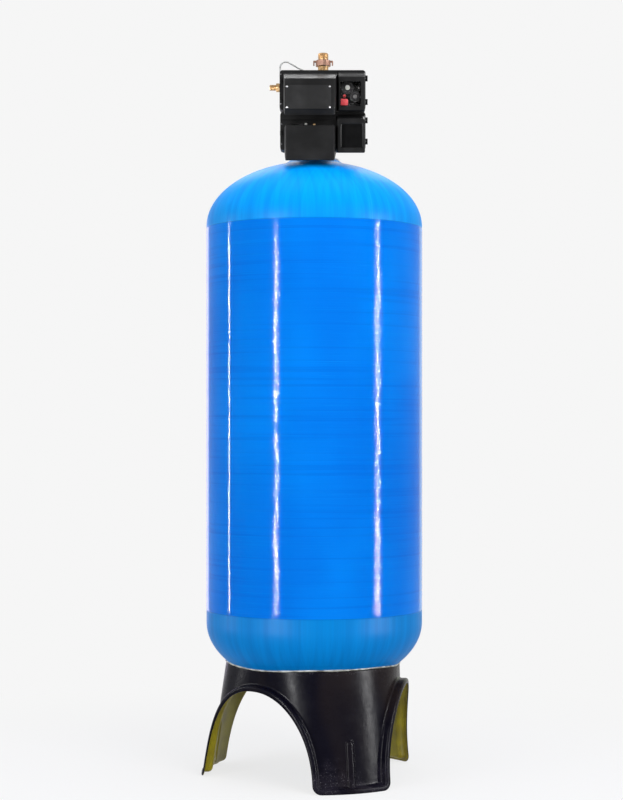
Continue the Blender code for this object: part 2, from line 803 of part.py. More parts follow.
def knuckle(item, name, level, on_shell, tools):
    """Adds a knuckle to a cover or its back shell: an eye on the hinge's axis, on a tab from the parting plane."""
    half = KNUCKLE_HEIGHT / 2
    low = level if on_shell else level + half + TOUCH
    high = level + half - TOUCH if on_shell else level + KNUCKLE_HEIGHT
    side = 1 if on_shell else -1
    near = TOUCH if on_shell else TOUCH * 2
    root = HINGE_X - KNUCKLE_LEAF
    sweep = 1.5 * math.pi + math.asin(near / KNUCKLE_RADIUS)
    outline = [(root, PARTING_Y + side * near), (root, PARTING_Y + side * KNUCKLE_RADIUS)]
    for step in range(KNUCKLE_STEPS + 1):
        angle = math.pi / 2 - sweep * step / KNUCKLE_STEPS
        x = HINGE_X + KNUCKLE_RADIUS * math.cos(angle)
        y = KNUCKLE_RADIUS * math.sin(angle)
        outline.append((x, PARTING_Y + side * y))
    join(item, prism(f"{name}_leaf", outline, low, high, None, tools, "Z"))
    hole_low = (HINGE_X, PARTING_Y, low - KNUCKLE_HEIGHT)
    cut(item, rod(f"{name}_bore", PIN_RADIUS + TOUCH, KNUCKLE_HEIGHT * 3, None, tools, hole_low, segments=SHAFT_SIDES))


def cover_outline(storey):
    """The rectangles that a cover's flange fills. The lower one steps down on the left, clear of the upper cover."""
    return (UPPER_SHELL,) if storey == "upper" else (LOWER_COVER_LEFT, LOWER_COVER_RIGHT)


def screw_points(storey):
    """X and Z of the two captive screws that close a cover."""
    rectangle = cover_outline(storey)[0]
    x = rectangle[0] + SCREW_INSET
    return [(x, rectangle[3] - SCREW_FROM_TOP), (x, rectangle[2] + SCREW_FROM_FOOT)]


def make_brow(name, rectangle, tools):
    """The front of the lower tray above its cover: a wall with the outline of the shell, less that of the cover.

    It ends above the cover's right-hand corner too, which swings through there as the cover opens.
    """
    front = PARTING_Y - TOUCH - FLANGE
    brow = shell_box(f"{name}_brow", inset(rectangle, TOUCH), front, PARTING_Y + COVER_WALL, None, tools, SHELL_CORNER)
    for index, part in enumerate(cover_outline("lower")):
        clear = shell_box(f"{name}_brow_{index}", inset(part, -RUNNING_GAP), front - FLANGE, PARTING_Y + FLANGE, None,
                          tools, SHELL_CORNER)
        cut(brow, clear)
    corner_x = LOWER_COVER_RIGHT[1] - SHELL_CORNER
    below = ((rectangle[0] - FLANGE, LOWER_COVER_LEFT[3]), (corner_x, LOWER_COVER_RIGHT[3]))
    for index, (x, sill) in enumerate(below):
        low = (x, front - FLANGE, rectangle[2] - FLANGE)
        high = (rectangle[1] + FLANGE, PARTING_Y + FLANGE, sill + RUNNING_GAP)
        cut(brow, box(f"{name}_brow_low_{index}", low, high, None, tools))
    return brow


def make_back_shell(storey, rectangle, rod_z, group, tools):
    """The tray at the back of a storey, with the bearing wall that carries its drive."""
    name = f"{storey}_back_shell"
    shell = shell_box(name, rectangle, PARTING_Y, BACK_Y, "cover_plastic", group, SHELL_CORNER)
    hollow_rectangle = inset(rectangle, COVER_WALL)
    inner = shell_box(f"{name}_hollow", hollow_rectangle, PARTING_Y - COVER_WALL, BACK_Y - COVER_WALL, None, tools,
                      SHELL_CORNER - COVER_WALL)
    cut(shell, inner)
    for index, (x, z) in enumerate(screw_points(storey)):
        half = SCREW_INSET - COVER_WALL / 2
        boss = box(f"{name}_boss_{index}", (x - half, PARTING_Y + TOUCH, z - half), (x + half, BACK_Y - TOUCH, z + half),
                   None, tools)
        hole = rod(f"{name}_thread_{index}", SCREW_RADIUS + RUNNING_GAP, SCREW_LENGTH, None, tools,
                   (x, PARTING_Y - COVER_WALL, z), "Y", SCREW_SIDES)
        join(shell, boss)
        cut(shell, hole)
    if storey == "lower":
        join(shell, make_brow(name, rectangle, tools))
    wall_low = (BEARING_X, MOTOR_Y - BEARING_HALF_HEIGHT, rod_z - BEARING_HALF_HEIGHT)
    wall_high = (BEARING_X + BEARING_WALL, BACK_Y - TOUCH, rod_z + BEARING_HALF_HEIGHT)
    join(shell, box(f"{name}_bearing", wall_low, wall_high, None, tools))
    start = BEARING_X - BEARING_WALL
    through = BEARING_WALL * 3
    gear_hole = rod(f"{name}_gear_hole", running_bore(GEAR_SHAFT), through, None, tools, (start, GEAR_Y, rod_z), "X",
                    SHAFT_SIDES)
    motor_hole = rod(f"{name}_motor_hole", running_bore(MOTOR_SHAFT), through, None, tools, (start, MOTOR_Y, rod_z), "X",
                     SHAFT_SIDES)
    rod_hole = rod(f"{name}_rod_hole", ROD_RADIUS + RUNNING_GAP * 2, COVER_WALL * 3, None, tools,
                   (0.0, BACK_Y - COVER_WALL * 2, rod_z), "Y", PIPE_SIDES)
    cut(shell, gear_hole, motor_hole, rod_hole)
    for index, level in enumerate(hinge_levels(storey)):
        knuckle(shell, f"{name}_hinge_{index}", level, True, tools)
    return shell


def make_cover(storey, boxes, group, tools):
    """A front cover: two tapered boxes on one flange, open behind. boxes holds (front, front Y, root) for each."""
    name = f"{storey}_cover"
    face = PARTING_Y - TOUCH
    first, *others = cover_outline(storey)
    cover = shell_box(name, first, face - FLANGE, face, "cover_plastic", group, SHELL_CORNER)
    for index, part in enumerate(others):
        join(cover, shell_box(f"{name}_flange_{index}", part, face - FLANGE, face, None, tools, SHELL_CORNER))
    for index, (front, front_y, root) in enumerate(boxes):
        outer = tapered(f"{name}_box_{index}", front, front_y, root, face - TOUCH, None, tools, COVER_BEVEL)
        join(cover, outer)
    for index, (front, front_y, root) in enumerate(boxes):
        inner = tapered(f"{name}_room_{index}", inset(front, COVER_WALL), front_y + COVER_WALL,
                        inset(root, COVER_WALL), face + COVER_WALL, None, tools)
        cut(cover, inner)
    for index, (x, z) in enumerate(screw_points(storey)):
        hole = rod(f"{name}_screw_{index}", SCREW_RADIUS + TOUCH, FLANGE * 3, None, tools,
                   (x, face - FLANGE * 2, z), "Y", SCREW_SIDES)
        cut(cover, hole)
    for index, level in enumerate(hinge_levels(storey)):
        knuckle(cover, f"{name}_hinge_{index}", level, False, tools)
    return cover


def screw_profile(head, radius, length):
    """A round-headed screw that points down from its seat."""
    return [
        (0.0, head * SCREW_CROWN),
        (head * SCREW_CROWN_WIDTH, head * SCREW_CROWN_EDGE),
        (head, 0.0),
        (radius, 0.0),
        (radius, -length),
        (0.0, -length),
    ]


def make_cover_screws(storey, first, group):
    profile = screw_profile(SCREW_HEAD, SCREW_RADIUS, SCREW_LENGTH - COVER_WALL)
    seat = PARTING_Y - TOUCH - FLANGE - TOUCH
    for index, (x, z) in enumerate(screw_points(storey)):
        turned(f"cover_screw_{first + index}", profile, "steel", group, (x, seat, z), "-Y", SCREW_SIDES)


def make_hinge_pins(group):
    levels = [*UPPER_HINGES, *LOWER_HINGES]
    for index, level in enumerate(levels):
        place = (HINGE_X, PARTING_Y, level - TOUCH)
        rod(f"hinge_pin_{index + 1}", PIN_RADIUS, KNUCKLE_HEIGHT + TOUCH * 2, "steel", group, place, segments=SHAFT_SIDES)


def running_bore(radius):
    """The radius of a many-sided bore in which a many-sided shaft turns freely."""
    return (radius + TOUCH) / math.cos(math.pi / SHAFT_SIDES)


def make_enclosures(group, tools):
    make_back_shell("upper", UPPER_SHELL, UPPER_ROD_Z, group, tools)
    make_back_shell("lower", LOWER_SHELL, LOWER_ROD_Z, group, tools)
    upper = make_cover("upper", UPPER_BOXES, group, tools)
    lower = make_cover("lower", LOWER_BOXES, group, tools)
    depth = COVER_WALL * 2
    opening = rounded_box("window_opening", (WINDOW[0], RIGHT_FRONT_Y - depth, WINDOW[2]),
                          (WINDOW[1], RIGHT_FRONT_Y + depth, WINDOW[3]), None, tools, WINDOW_CORNER)
    cut(upper, opening)
    margin = WINDOW_CORNER
    pane_front = RIGHT_FRONT_Y + COVER_WALL + TOUCH
    rounded_box("window_pane", (WINDOW[0] - margin, pane_front, WINDOW[2] - margin),
                (WINDOW[1] + margin, pane_front + PANE_THICKNESS, WINDOW[3] + margin), "clear_window", group, margin)
    recess = rounded_box("panel_recess", (PANEL[0], RIGHT_FRONT_Y - depth, PANEL[2]),
                         (PANEL[1], RIGHT_FRONT_Y + PANEL_DEPTH, PANEL[3]), None, tools, PANEL_CORNER)
    cut(lower, recess)
    make_name_plate(upper, group, tools)
    make_cover_screws("upper", 1, group)
    make_cover_screws("lower", 3, group)
    make_hinge_pins(group)


def make_name_plate(cover, group, tools):
    """The bare plate on the upper cover, held by a screw at each corner."""
    rear = LEFT_FRONT_Y - TOUCH
    front = rear - PLATE_THICKNESS
    plate = rounded_box("name_plate", (PLATE[0], front, PLATE[2]), (PLATE[1], rear, PLATE[3]), "grey_plastic", group,
                        PLATE_CORNER)
    corners = [(x, z) for z in (PLATE[3] - PLATE_INSET, PLATE[2] + PLATE_INSET)
               for x in (PLATE[0] + PLATE_INSET, PLATE[1] - PLATE_INSET)]
    reach = PLATE_THICKNESS + COVER_WALL
    for index, (x, z) in enumerate(corners):
        hole = rod(f"plate_hole_{index}", PLATE_SCREW + TOUCH, reach * 3, None, tools, (x, front - reach, z), "Y",
                   SCREW_SIDES)
        cut(plate, hole)
        cut(cover, hole)
        profile = screw_profile(PLATE_SCREW_HEAD, PLATE_SCREW, reach)
        turned(f"plate_screw_{index + 1}", profile, "steel", group, (x, front - TOUCH, z), "-Y", SCREW_SIDES)


def gear_outline(teeth, pitch, centre, phase):
    """Straight-sided teeth round a centre in the YZ plane; phase is the angle of one tooth's middle."""
    module = 2 * pitch / teeth
    step = 2 * math.pi / teeth
    outline = []
    for tooth in range(teeth):
        for share, height in TOOTH:
            angle = phase + step * (tooth + share)
            radius = pitch + module * height
            outline.append((centre[0] + radius * math.cos(angle), centre[1] + radius * math.sin(angle)))
    return outline


def make_drive(storey, rod_z, group, tools):
    """A geared motor, its pinion, and the drive gear whose crank pin faces the piston's yoke."""
    gear_low = BEARING_X + BEARING_WALL + RUNNING_GAP
    gear_high = gear_low + GEAR_WIDTH
    centre = (GEAR_Y, rod_z)
    gear = prism(f"{storey}_drive_gear", gear_outline(GEAR_TEETH, GEAR_PITCH, centre, math.pi), gear_low, gear_high,
                 "white_plastic", group)
    shaft_start = BEARING_X - BEARING_WALL
    shaft = rod(f"{storey}_gear_shaft", GEAR_SHAFT, gear_high - shaft_start - TOUCH * 4, None, tools,
                (shaft_start, GEAR_Y, rod_z), "X", SHAFT_SIDES)
    pin_start = (gear_low + gear_high) / 2
    pin_length = -max(YOKE_THICKNESS / 2, ROD_RADIUS) - RUNNING_GAP - pin_start
    pin_place = (pin_start, GEAR_Y - CRANK_RADIUS, rod_z)
    pin = rod(f"{storey}_crank_pin", CRANK_PIN, pin_length, None, tools, pin_place, "X", SHAFT_SIDES)
    join(gear, shaft, pin)
    pinion_pitch = GEAR_PITCH * PINION_TEETH / GEAR_TEETH
    outline = gear_outline(PINION_TEETH, pinion_pitch, (MOTOR_Y, rod_z), math.pi / PINION_TEETH)
    pinion = prism(f"{storey}_motor_pinion", outline, gear_low, gear_high, "steel", group)
    pinion_shaft = rod(f"{storey}_pinion_shaft", MOTOR_SHAFT, gear_high - BEARING_X + MOTOR_BORE - TOUCH * 6, None,
                       tools, (BEARING_X - MOTOR_BORE, MOTOR_Y, rod_z), "X", SHAFT_SIDES)
    join(pinion, pinion_shaft)
    motor_end = BEARING_X - TOUCH
    motor = rod(f"{storey}_motor", MOTOR_RADIUS, MOTOR_LENGTH, "steel", group, (motor_end - MOTOR_LENGTH, MOTOR_Y, rod_z),
                "X", COLLAR_SIDES, chamfer=MOTOR_CHAMFER)
    bore = rod(f"{storey}_motor_bore", running_bore(MOTOR_SHAFT), MOTOR_BORE * 2, None, tools,
               (motor_end - MOTOR_BORE - RUNNING_GAP, MOTOR_Y, rod_z), "X", SHAFT_SIDES)
    cut(motor, bore)


def make_piston(storey, rod_z, group, tools):
    """The piston, its rod and the slotted yoke at the rod's front end, one turned and pinned piece."""
    profile = [
        (0.0, PISTON_REAR),
        (PISTON_RADIUS, PISTON_REAR),
        (PISTON_RADIUS, PISTON_FRONT),
        (ROD_RADIUS, PISTON_FRONT),
        (ROD_RADIUS, YOKE_Y),
        (0.0, YOKE_Y),
    ]
    piston = turned(f"{storey}_piston", profile, "brass", group, (0.0, 0.0, rod_z), "Y", PIPE_SIDES)
    half = YOKE_THICKNESS / 2
    low = YOKE_Y - YOKE_DEPTH
    yoke = box(f"{storey}_yoke", (-half, low, rod_z - YOKE_HALF_HEIGHT), (half, YOKE_Y + half, rod_z + YOKE_HALF_HEIGHT),
               None, tools)
    slot_edge = (YOKE_DEPTH - CRANK_PIN * 2 - RUNNING_GAP * 2) / 2
    slot = box(f"{storey}_yoke_slot", (-half * 2, low + slot_edge, rod_z - CRANK_RADIUS - CRANK_PIN - half / 2),
               (half * 2, YOKE_Y - slot_edge, rod_z + CRANK_RADIUS + CRANK_PIN + half / 2), None, tools)
    join(piston, yoke)
    cut(piston, slot)
    seal = [
        (ROD_RADIUS + TOUCH, BARREL_FRONT + TOUCH),
        (PACK_RADIUS, BARREL_FRONT + TOUCH),
        (PACK_RADIUS, PACK_REAR),
        (PISTON_RADIUS + TOUCH, PACK_REAR),
        (PISTON_RADIUS + TOUCH, BARREL_FRONT + PACK_GUIDE),
        (ROD_RADIUS + TOUCH, BARREL_FRONT + PACK_GUIDE),
    ]
    turned(f"{storey}_seal_pack", list(reversed(seal)), "black_rubber", group, (0.0, 0.0, rod_z), "Y", PIPE_SIDES,
           closed=True)


def make_adapter(group):
    top = ADAPTER_TOP
    flange_low = NECK_TOP + INSERT_LIP + TOUCH * 2
    thread = INSERT_BORE - TOUCH
    bore = riser_bore()
    profile = [
        (bore, top),
        (ADAPTER_FLANGE, top),
        (ADAPTER_FLANGE, flange_low),
        (thread, flange_low),
        (thread, flange_low - ADAPTER_THREAD),
        (bore, flange_low - ADAPTER_THREAD),
    ]
    turned("tank_adapter", profile, "cover_plastic", group, segments=HEAD_SEGMENTS, closed=True)
    low = flange_low - ADAPTER_THREAD - TOUCH
    ring("top_diffuser", bore, DIFFUSER_RADIUS, low - DIFFUSER_HEIGHT, low, "white_plastic", group)


def make_valve_body(group, tools):
    """One brass casting: a column, a barrel for each piston, and the ports."""
    base = ADAPTER_TOP + TOUCH
    profile = [
        (0.0, BODY_TOP),
        (BODY_RADIUS - BODY_FILLET, BODY_TOP),
        (BODY_RADIUS, BODY_TOP - BODY_FILLET),
        (BODY_RADIUS, base + BODY_FLANGE_HEIGHT + BODY_FILLET),
        (BODY_FLANGE, base + BODY_FLANGE_HEIGHT),
        (BODY_FLANGE, base),
        (0.0, base),
    ]
    body = turned("valve_body", profile, "brass", group, segments=BODY_SIDES)
    pocket = rod("body_riser_bore", RISER_RADIUS, BODY_POCKET, None, tools, (0.0, 0.0, base - TOUCH), segments=PIPE_SIDES)
    cut(body, pocket)
    for storey, rod_z in (("upper", UPPER_ROD_Z), ("lower", LOWER_ROD_Z)):
        barrel = rod(f"{storey}_barrel", BARREL_RADIUS, BARREL_REAR - BARREL_FRONT, None, tools,
                     (0.0, BARREL_FRONT, rod_z), "Y", PIPE_SIDES)
        join(body, barrel)
    for side in (-1, 1):
        arm = rod(f"rear_arm_{side}", PORT_ARM, PORT_Y, None, tools, (side * PORT_X, 0.0, PORT_Z), "Y", PIPE_SIDES)
        join(body, arm)
    left = rod("left_arm", DRAIN_ARM, DRAIN_ARM_REACH, None, tools, (0.0, DRAIN_Y, DRAIN_Z), "-X", PIPE_SIDES)
    boss = rod("tube_boss", TUBE_BOSS, TUBE_BOSS_TOP - DRAIN_Z, None, tools, (TUBE_START[0], DRAIN_Y, DRAIN_Z),
               segments=SHAFT_SIDES)
    top = rod("union_boss", UNION_BOSS, UNION_BASE - BODY_TOP + BODY_RADIUS, None, tools,
              (UNION_X, UNION_Y, BODY_TOP - BODY_RADIUS), segments=COLLAR_SIDES)
    join(body, left, boss, top)
    for storey, rod_z in (("upper", UPPER_ROD_Z), ("lower", LOWER_ROD_Z)):
        bore = rod(f"{storey}_barrel_bore", PACK_RADIUS + TOUCH, PACK_REAR - BARREL_FRONT + RUNNING_GAP * 2, None, tools,
                   (0.0, BARREL_FRONT - RUNNING_GAP, rod_z), "Y", PIPE_SIDES)
        cut(body, bore)
    for side in (-1, 1):
        place = (side * PORT_X, PORT_Y + TOUCH, PORT_Z)
        socket = rod(f"rear_socket_{side}", PORT_SPIGOT + TOUCH, PORT_SPIGOT_LENGTH + TOUCH * 3, None, tools, place,
                     "-Y", PIPE_SIDES)
        cut(body, socket)
    drain_mouth = (-DRAIN_ARM_REACH - TOUCH, DRAIN_Y, DRAIN_Z)
    drain = rod("drain_socket", DRAIN_SPIGOT + TOUCH, DRAIN_SPIGOT_LENGTH + TOUCH * 3, None, tools, drain_mouth, "X",
                PIPE_SIDES)
    stub = rod("union_socket", UNION_BORE + TOUCH, UNION_SPIGOT + TOUCH * 3, None, tools,
               (UNION_X, UNION_Y, UNION_BASE - UNION_SPIGOT - TOUCH * 2), segments=COLLAR_SIDES)
    cut(body, drain, stub)


def make_rear_couplings(group):
    """Threaded tails for the pipes behind the valve."""
    for name, side in (("inlet_coupling", -1), ("outlet_coupling", 1)):
        start = PORT_Y + TOUCH
        profile = [
            (PORT_BORE, PORT_COLLAR + PORT_TAIL),
            (PORT_THREAD, PORT_COLLAR + PORT_TAIL),
            (PORT_THREAD, PORT_COLLAR),
            (PORT_ARM, PORT_COLLAR),
            (PORT_ARM, 0.0),
            (PORT_SPIGOT, 0.0),
            (PORT_SPIGOT, -PORT_SPIGOT_LENGTH),
            (PORT_BORE, -PORT_SPIGOT_LENGTH),
        ]
        turned(name, profile, "brass", group, (side * PORT_X, start, PORT_Z), "Y", PIPE_SIDES, closed=True)


def make_drain_nipple(group, tools):
    start = -DRAIN_ARM_REACH - TOUCH
    nipple = turned(
        "drain_nipple",
        [(0.0, DRAIN_HEX_WIDTH), (DRAIN_HEX, DRAIN_HEX_WIDTH), (DRAIN_HEX, 0.0), (0.0, 0.0)],
        "brass", group, (start, DRAIN_Y, DRAIN_Z), "-X", SCREW_SIDES, flats=True,
    )
    thread = rod("nipple_thread", DRAIN_THREAD, DRAIN_HEX_WIDTH / 2 + DRAIN_TAIL, None, tools,
                 (start - DRAIN_HEX_WIDTH / 2, DRAIN_Y, DRAIN_Z), "-X", COLLAR_SIDES, chamfer=DRAIN_CHAMFER)
    spigot = rod("nipple_spigot", DRAIN_SPIGOT, DRAIN_SPIGOT_LENGTH + DRAIN_HEX_WIDTH / 2, None, tools,
                 (start - DRAIN_HEX_WIDTH / 2, DRAIN_Y, DRAIN_Z), "X", PIPE_SIDES)
    length = DRAIN_SPIGOT_LENGTH + DRAIN_HEX_WIDTH + DRAIN_TAIL
    bore = rod("nipple_bore", DRAIN_BORE, length * 2, None, tools, (start + length, DRAIN_Y, DRAIN_Z), "-X", PIPE_SIDES)
    join(nipple, thread, spigot)
    cut(nipple, bore)


def make_union(group, tools):
    """The lugged union above the valve: a stub in the body, a tail on the stub, and the nut that draws them together."""
    place = (UNION_X, UNION_Y, 0.0)
    base = UNION_BASE + TOUCH
    stub = [
        (UNION_WATER, UNION_JOINT),
        (UNION_COLLAR, UNION_JOINT),
        (UNION_COLLAR, UNION_JOINT - UNION_ENGAGE),
        (UNION_NECK, UNION_JOINT - UNION_ENGAGE - UNION_STEP),
        (UNION_NECK, base),
        (UNION_BORE, base),
        (UNION_BORE, base - UNION_SPIGOT),
        (UNION_WATER, base - UNION_SPIGOT),
    ]
    turned("union_stub", stub, "brass", group, place, segments=COLLAR_SIDES, closed=True)
    seat = UNION_JOINT + TOUCH
    tail = [
        (UNION_WATER, UNION_TOP),
        (UNION_THREAD - UNION_STEP / 2, UNION_TOP),
        (UNION_THREAD, UNION_TOP - UNION_STEP / 2),
        (UNION_THREAD, UNION_TOP - UNION_THREAD_LENGTH),
        (UNION_WAIST, UNION_TOP - UNION_THREAD_LENGTH - UNION_STEP),
        (UNION_WAIST, seat + UNION_STEP),
        (UNION_COLLAR, seat + UNION_STEP),
        (UNION_COLLAR, seat),
        (UNION_WATER, seat),
    ]
    turned("union_tail", tail, "brass", group, place, segments=COLLAR_SIDES, closed=True)
    lip = seat + UNION_STEP + TOUCH
    nut_low = UNION_JOINT - UNION_ENGAGE
    nut = turned(
        "union_nut",
        [
            (UNION_WAIST + TOUCH, NUT_TOP),
            (NUT_RADIUS - UNION_STEP / 2, NUT_TOP),
            (NUT_RADIUS, NUT_TOP - UNION_STEP / 2),
            (NUT_RADIUS, nut_low),
            (UNION_COLLAR + TOUCH, nut_low),
            (UNION_COLLAR + TOUCH, lip),
            (UNION_WAIST + TOUCH, lip),
        ],
        "brass", group, place, segments=COLLAR_SIDES, closed=True,
    )
    for side in (-1, 1):
        inner = (NUT_RADIUS + UNION_COLLAR) / 2
        near = UNION_X + side * inner
        far = UNION_X + side * NUT_REACH
        hook = UNION_X + side * (NUT_REACH - EAR_THICKNESS)
        arm = box(f"nut_ear_{side}", (min(near, far), UNION_Y - EAR_WIDTH / 2, NUT_TOP - EAR_DEPTH),
                  (max(near, far), UNION_Y + EAR_WIDTH / 2, NUT_TOP - UNION_STEP / 2), None, tools)
        tip = box(f"nut_hook_{side}", (min(hook, far), UNION_Y - EAR_WIDTH / 2 + TOUCH, NUT_TOP - EAR_DROP),
                  (max(hook, far) - TOUCH, UNION_Y + EAR_WIDTH / 2 - TOUCH, NUT_TOP - EAR_DEPTH / 2), None, tools)
        join(nut, bevelled(arm, EAR_BEVEL), tip)


def smooth_route(points, steps):
    """Points along a Catmull-Rom curve through the route's own points."""
    ends = [points[0]] + list(points) + [points[-1]]
    route = []
    for index in range(1, len(ends) - 2):
        before, start, end, after = (Vector(point) for point in ends[index - 1:index + 3])
        for step in range(steps):
            t = step / steps
            point = 2 * start + (end - before) * t + (2 * before - 5 * start + 4 * end - after) * t * t
            point += (3 * start - before - 3 * end + after) * t * t * t
            route.append(point / 2)
    route.append(Vector(points[-1]))
    return route


def make_pilot_tube(group):
    curve = bpy.data.curves.new("pilot_tube", "CURVE")
    curve.dimensions = "3D"
    curve.bevel_depth = TUBE_RADIUS
    curve.bevel_resolution = 1
    curve.use_fill_caps = True
    route = [Vector(TUBE_START), *smooth_route(TUBE_ROUTE, TUBE_STEPS), Vector(TUBE_END)]
    spline = curve.splines.new("POLY")
    spline.points.add(len(route) - 1)
    for point, place in zip(spline.points, route):
        point.co = (*place, 1.0)
    curve.materials.append(finish_named("tube_plastic"))
    group.objects.link(bpy.data.objects.new("pilot_tube", curve))
    for name, top in (("tube_nut_left", TUBE_START), ("tube_nut_right", TUBE_END)):
        height = top[2] - TOUCH * 2 - (TUBE_BOSS_TOP if top is TUBE_START else BODY_TOP) - TOUCH
        edge = height * TUBE_NUT_EDGE
        profile = [(0.0, height), (TUBE_NUT * TUBE_NUT_EDGE, height), (TUBE_NUT, edge), (TUBE_NUT, 0.0), (0.0, 0.0)]
        place = (top[0], top[1], top[2] - TOUCH * 2 - height)
        turned(name, profile, "brass", group, place, segments=SCREW_SIDES, flats=True)


def make_timer(group, tools):
    """The timer's plate on two legs, and the controls seen through the window."""
    rear = TIMER_Y + TIMER_PLATE
    plate = box("timer_plate", (TIMER[0], TIMER_Y, TIMER[2]), (TIMER[1], rear, TIMER[3]), "cover_plastic", group)
    middle = (TIMER[2] + TIMER[3]) / 2
    foot = BACK_Y - COVER_WALL - TOUCH
    for index, x in enumerate((TIMER[0] + TIMER_LEG, TIMER[1] - TIMER_LEG)):
        leg = box(f"timer_leg_{index}", (x - TIMER_LEG / 2, rear - TIMER_PLATE / 2, middle - TIMER_LEG),
                  (x + TIMER_LEG / 2, foot, middle + TIMER_LEG), None, tools)
        join(plate, leg)
    face = TIMER_Y - RUNNING_GAP
    turned(
        "program_dial",
        [
            (0.0, DIAL_HEIGHT),
            (DIAL_KNOB, DIAL_HEIGHT),
            (DIAL_KNOB, DIAL_DISC),
            (DIAL_RADIUS, DIAL_DISC),
            (DIAL_RADIUS, 0.0),
            (DIAL_SHAFT, 0.0),
            (DIAL_SHAFT, -TIMER_PLATE * 2),
            (0.0, -TIMER_PLATE * 2),
        ],
        "grey_plastic", group, (DIAL[0], face, DIAL[1]), "-Y", COLLAR_SIDES,
    )
    flutes = []
    for step in range(KNOB_FLUTES * 2):
        radius = KNOB_RADIUS if step % 2 else KNOB_RADIUS - KNOB_FLUTE_DEPTH
        angle = math.pi * step / KNOB_FLUTES
        flutes.append((KNOB[1] + radius * math.sin(angle), KNOB[0] + radius * math.cos(angle)))
    knob = prism("manual_knob", flutes, face - DIAL_HEIGHT, face, "cover_plastic", group, "Y")
    shaft = rod("knob_shaft", DIAL_SHAFT, DIAL_HEIGHT / 2 + TIMER_PLATE * 2, None, tools,
                (KNOB[0], face - DIAL_HEIGHT / 2, KNOB[1]), "Y", PIPE_SIDES)
    join(knob, shaft)
    rod("time_set_button", BUTTON_RADIUS, BUTTON_LENGTH, "red_plastic", group,
        (BUTTON[0], TIMER_Y - BUTTON_PROUD + BUTTON_LENGTH, BUTTON[1]), "-Y", PIPE_SIDES, chamfer=BUTTON_CHAMFER)
    for index, (point, radius) in enumerate(((DIAL, DIAL_SHAFT), (KNOB, DIAL_SHAFT), (BUTTON, BUTTON_RADIUS))):
        hole = rod(f"timer_hole_{index}", radius + TOUCH, TIMER_PLATE * 3, None, tools,
                   (point[0], TIMER_Y - TIMER_PLATE, point[1]), "Y", PIPE_SIDES)
        cut(plate, hole)


def main():
    clear_scene()
    group = new_collection("water_softener")
    tools = new_collection("cutters")
    make_tank_shell(group)
    make_tank_liner(group)
    make_neck_insert(group)
    make_distributor(group)
    make_beds(group, tools)
    make_tripod_base(group)
    make_adapter(group)
    make_valve_body(group, tools)
    make_rear_couplings(group)
    make_drain_nipple(group, tools)
    make_union(group, tools)
    make_pilot_tube(group)
    for storey, rod_z in (("upper", UPPER_ROD_Z), ("lower", LOWER_ROD_Z)):
        make_drive(storey, rod_z, group, tools)
        make_piston(storey, rod_z, group, tools)
    make_enclosures(group, tools)
    make_timer(group, tools)


main()
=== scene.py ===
"""The looks of a water softener.

A blue fibre-wound vessel stands on a black three-legged base, under a two-storey valve.
"""

import math

import bmesh
import bpy
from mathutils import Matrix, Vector, noise


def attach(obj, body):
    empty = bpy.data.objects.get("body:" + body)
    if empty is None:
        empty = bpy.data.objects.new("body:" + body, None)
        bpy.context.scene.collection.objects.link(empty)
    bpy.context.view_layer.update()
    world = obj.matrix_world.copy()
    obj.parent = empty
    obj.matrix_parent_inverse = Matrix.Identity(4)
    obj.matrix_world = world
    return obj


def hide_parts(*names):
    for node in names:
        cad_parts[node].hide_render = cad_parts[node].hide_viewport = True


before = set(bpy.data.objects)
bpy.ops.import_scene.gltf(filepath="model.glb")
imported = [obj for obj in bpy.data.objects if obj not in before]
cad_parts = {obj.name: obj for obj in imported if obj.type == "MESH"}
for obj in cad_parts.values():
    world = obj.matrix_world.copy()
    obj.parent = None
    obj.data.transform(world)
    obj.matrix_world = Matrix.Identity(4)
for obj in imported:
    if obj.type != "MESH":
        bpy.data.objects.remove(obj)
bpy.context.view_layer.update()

# The photograph's camera: size, focal length, horizon row and tank column in pixels, place in metres

IMAGE_SIZE = (623, 800)
FOCAL_PIXELS = 1823.0
HORIZON_ROW = 425.0
TANK_COLUMN = 314.3
CAMERA_PLACE = (0.0, -6.5, 1.24)
SENSOR_WIDTH = 36.0
CLIP_END = 60.0

# Stage

BACKGROUND = (0.921, 0.921, 0.921, 1.0)
AMBIENT = 0.50
FLOOR_REACH = 5.0
FLOOR_FADE = (0.9, 2.3)
FLOOR_GLOW = 0.81
FLOOR_COLOUR = (0.62, 0.62, 0.63, 1.0)
FLOOR_SHADE = (0.22, 0.22, 0.225, 1.0)

# Lamps, which light the object and don't show in its gloss: name, place, target, width and height, watts

LAMPS = (
    ("key", (2.4, -4.2, 3.6), (0.0, 0.0, 1.5), (2.4, 2.4), 115.0),
    ("fill", (-3.4, -3.6, 1.9), (0.0, 0.0, 1.2), (2.0, 2.8), 45.0),
    ("top", (0.0, -0.4, 4.6), (0.0, 0.0, 2.0), (2.2, 1.6), 45.0),
)

# Strips, which show only in its gloss: name, bearing in degrees, distance, width, watts, colour

WHITE = (1.0, 1.0, 1.0)
STRIPS = (
    ("strip_far_left", -94.8, 2.6, 0.06, 66.0, WHITE),
    ("strip_left", -37.7, 3.0, 0.05, 300.0, WHITE),
    ("strip_right", 65.3, 2.6, 0.05, 250.0, WHITE),
    ("strip_rear_left", -150.0, 2.4, 0.60, 9.0, (0.72, 0.62, 1.0)),
    ("strip_rear_right", 148.0, 2.4, 0.60, 3.0, (0.75, 0.95, 0.55)),
)
STRIP_LOW = 0.20
STRIP_HIGH = 2.32
REAR_SKY = ("rear_sky", (0.0, 2.6, 3.9), (0.0, -0.2, 2.45), (2.4, 1.0), 36.0)

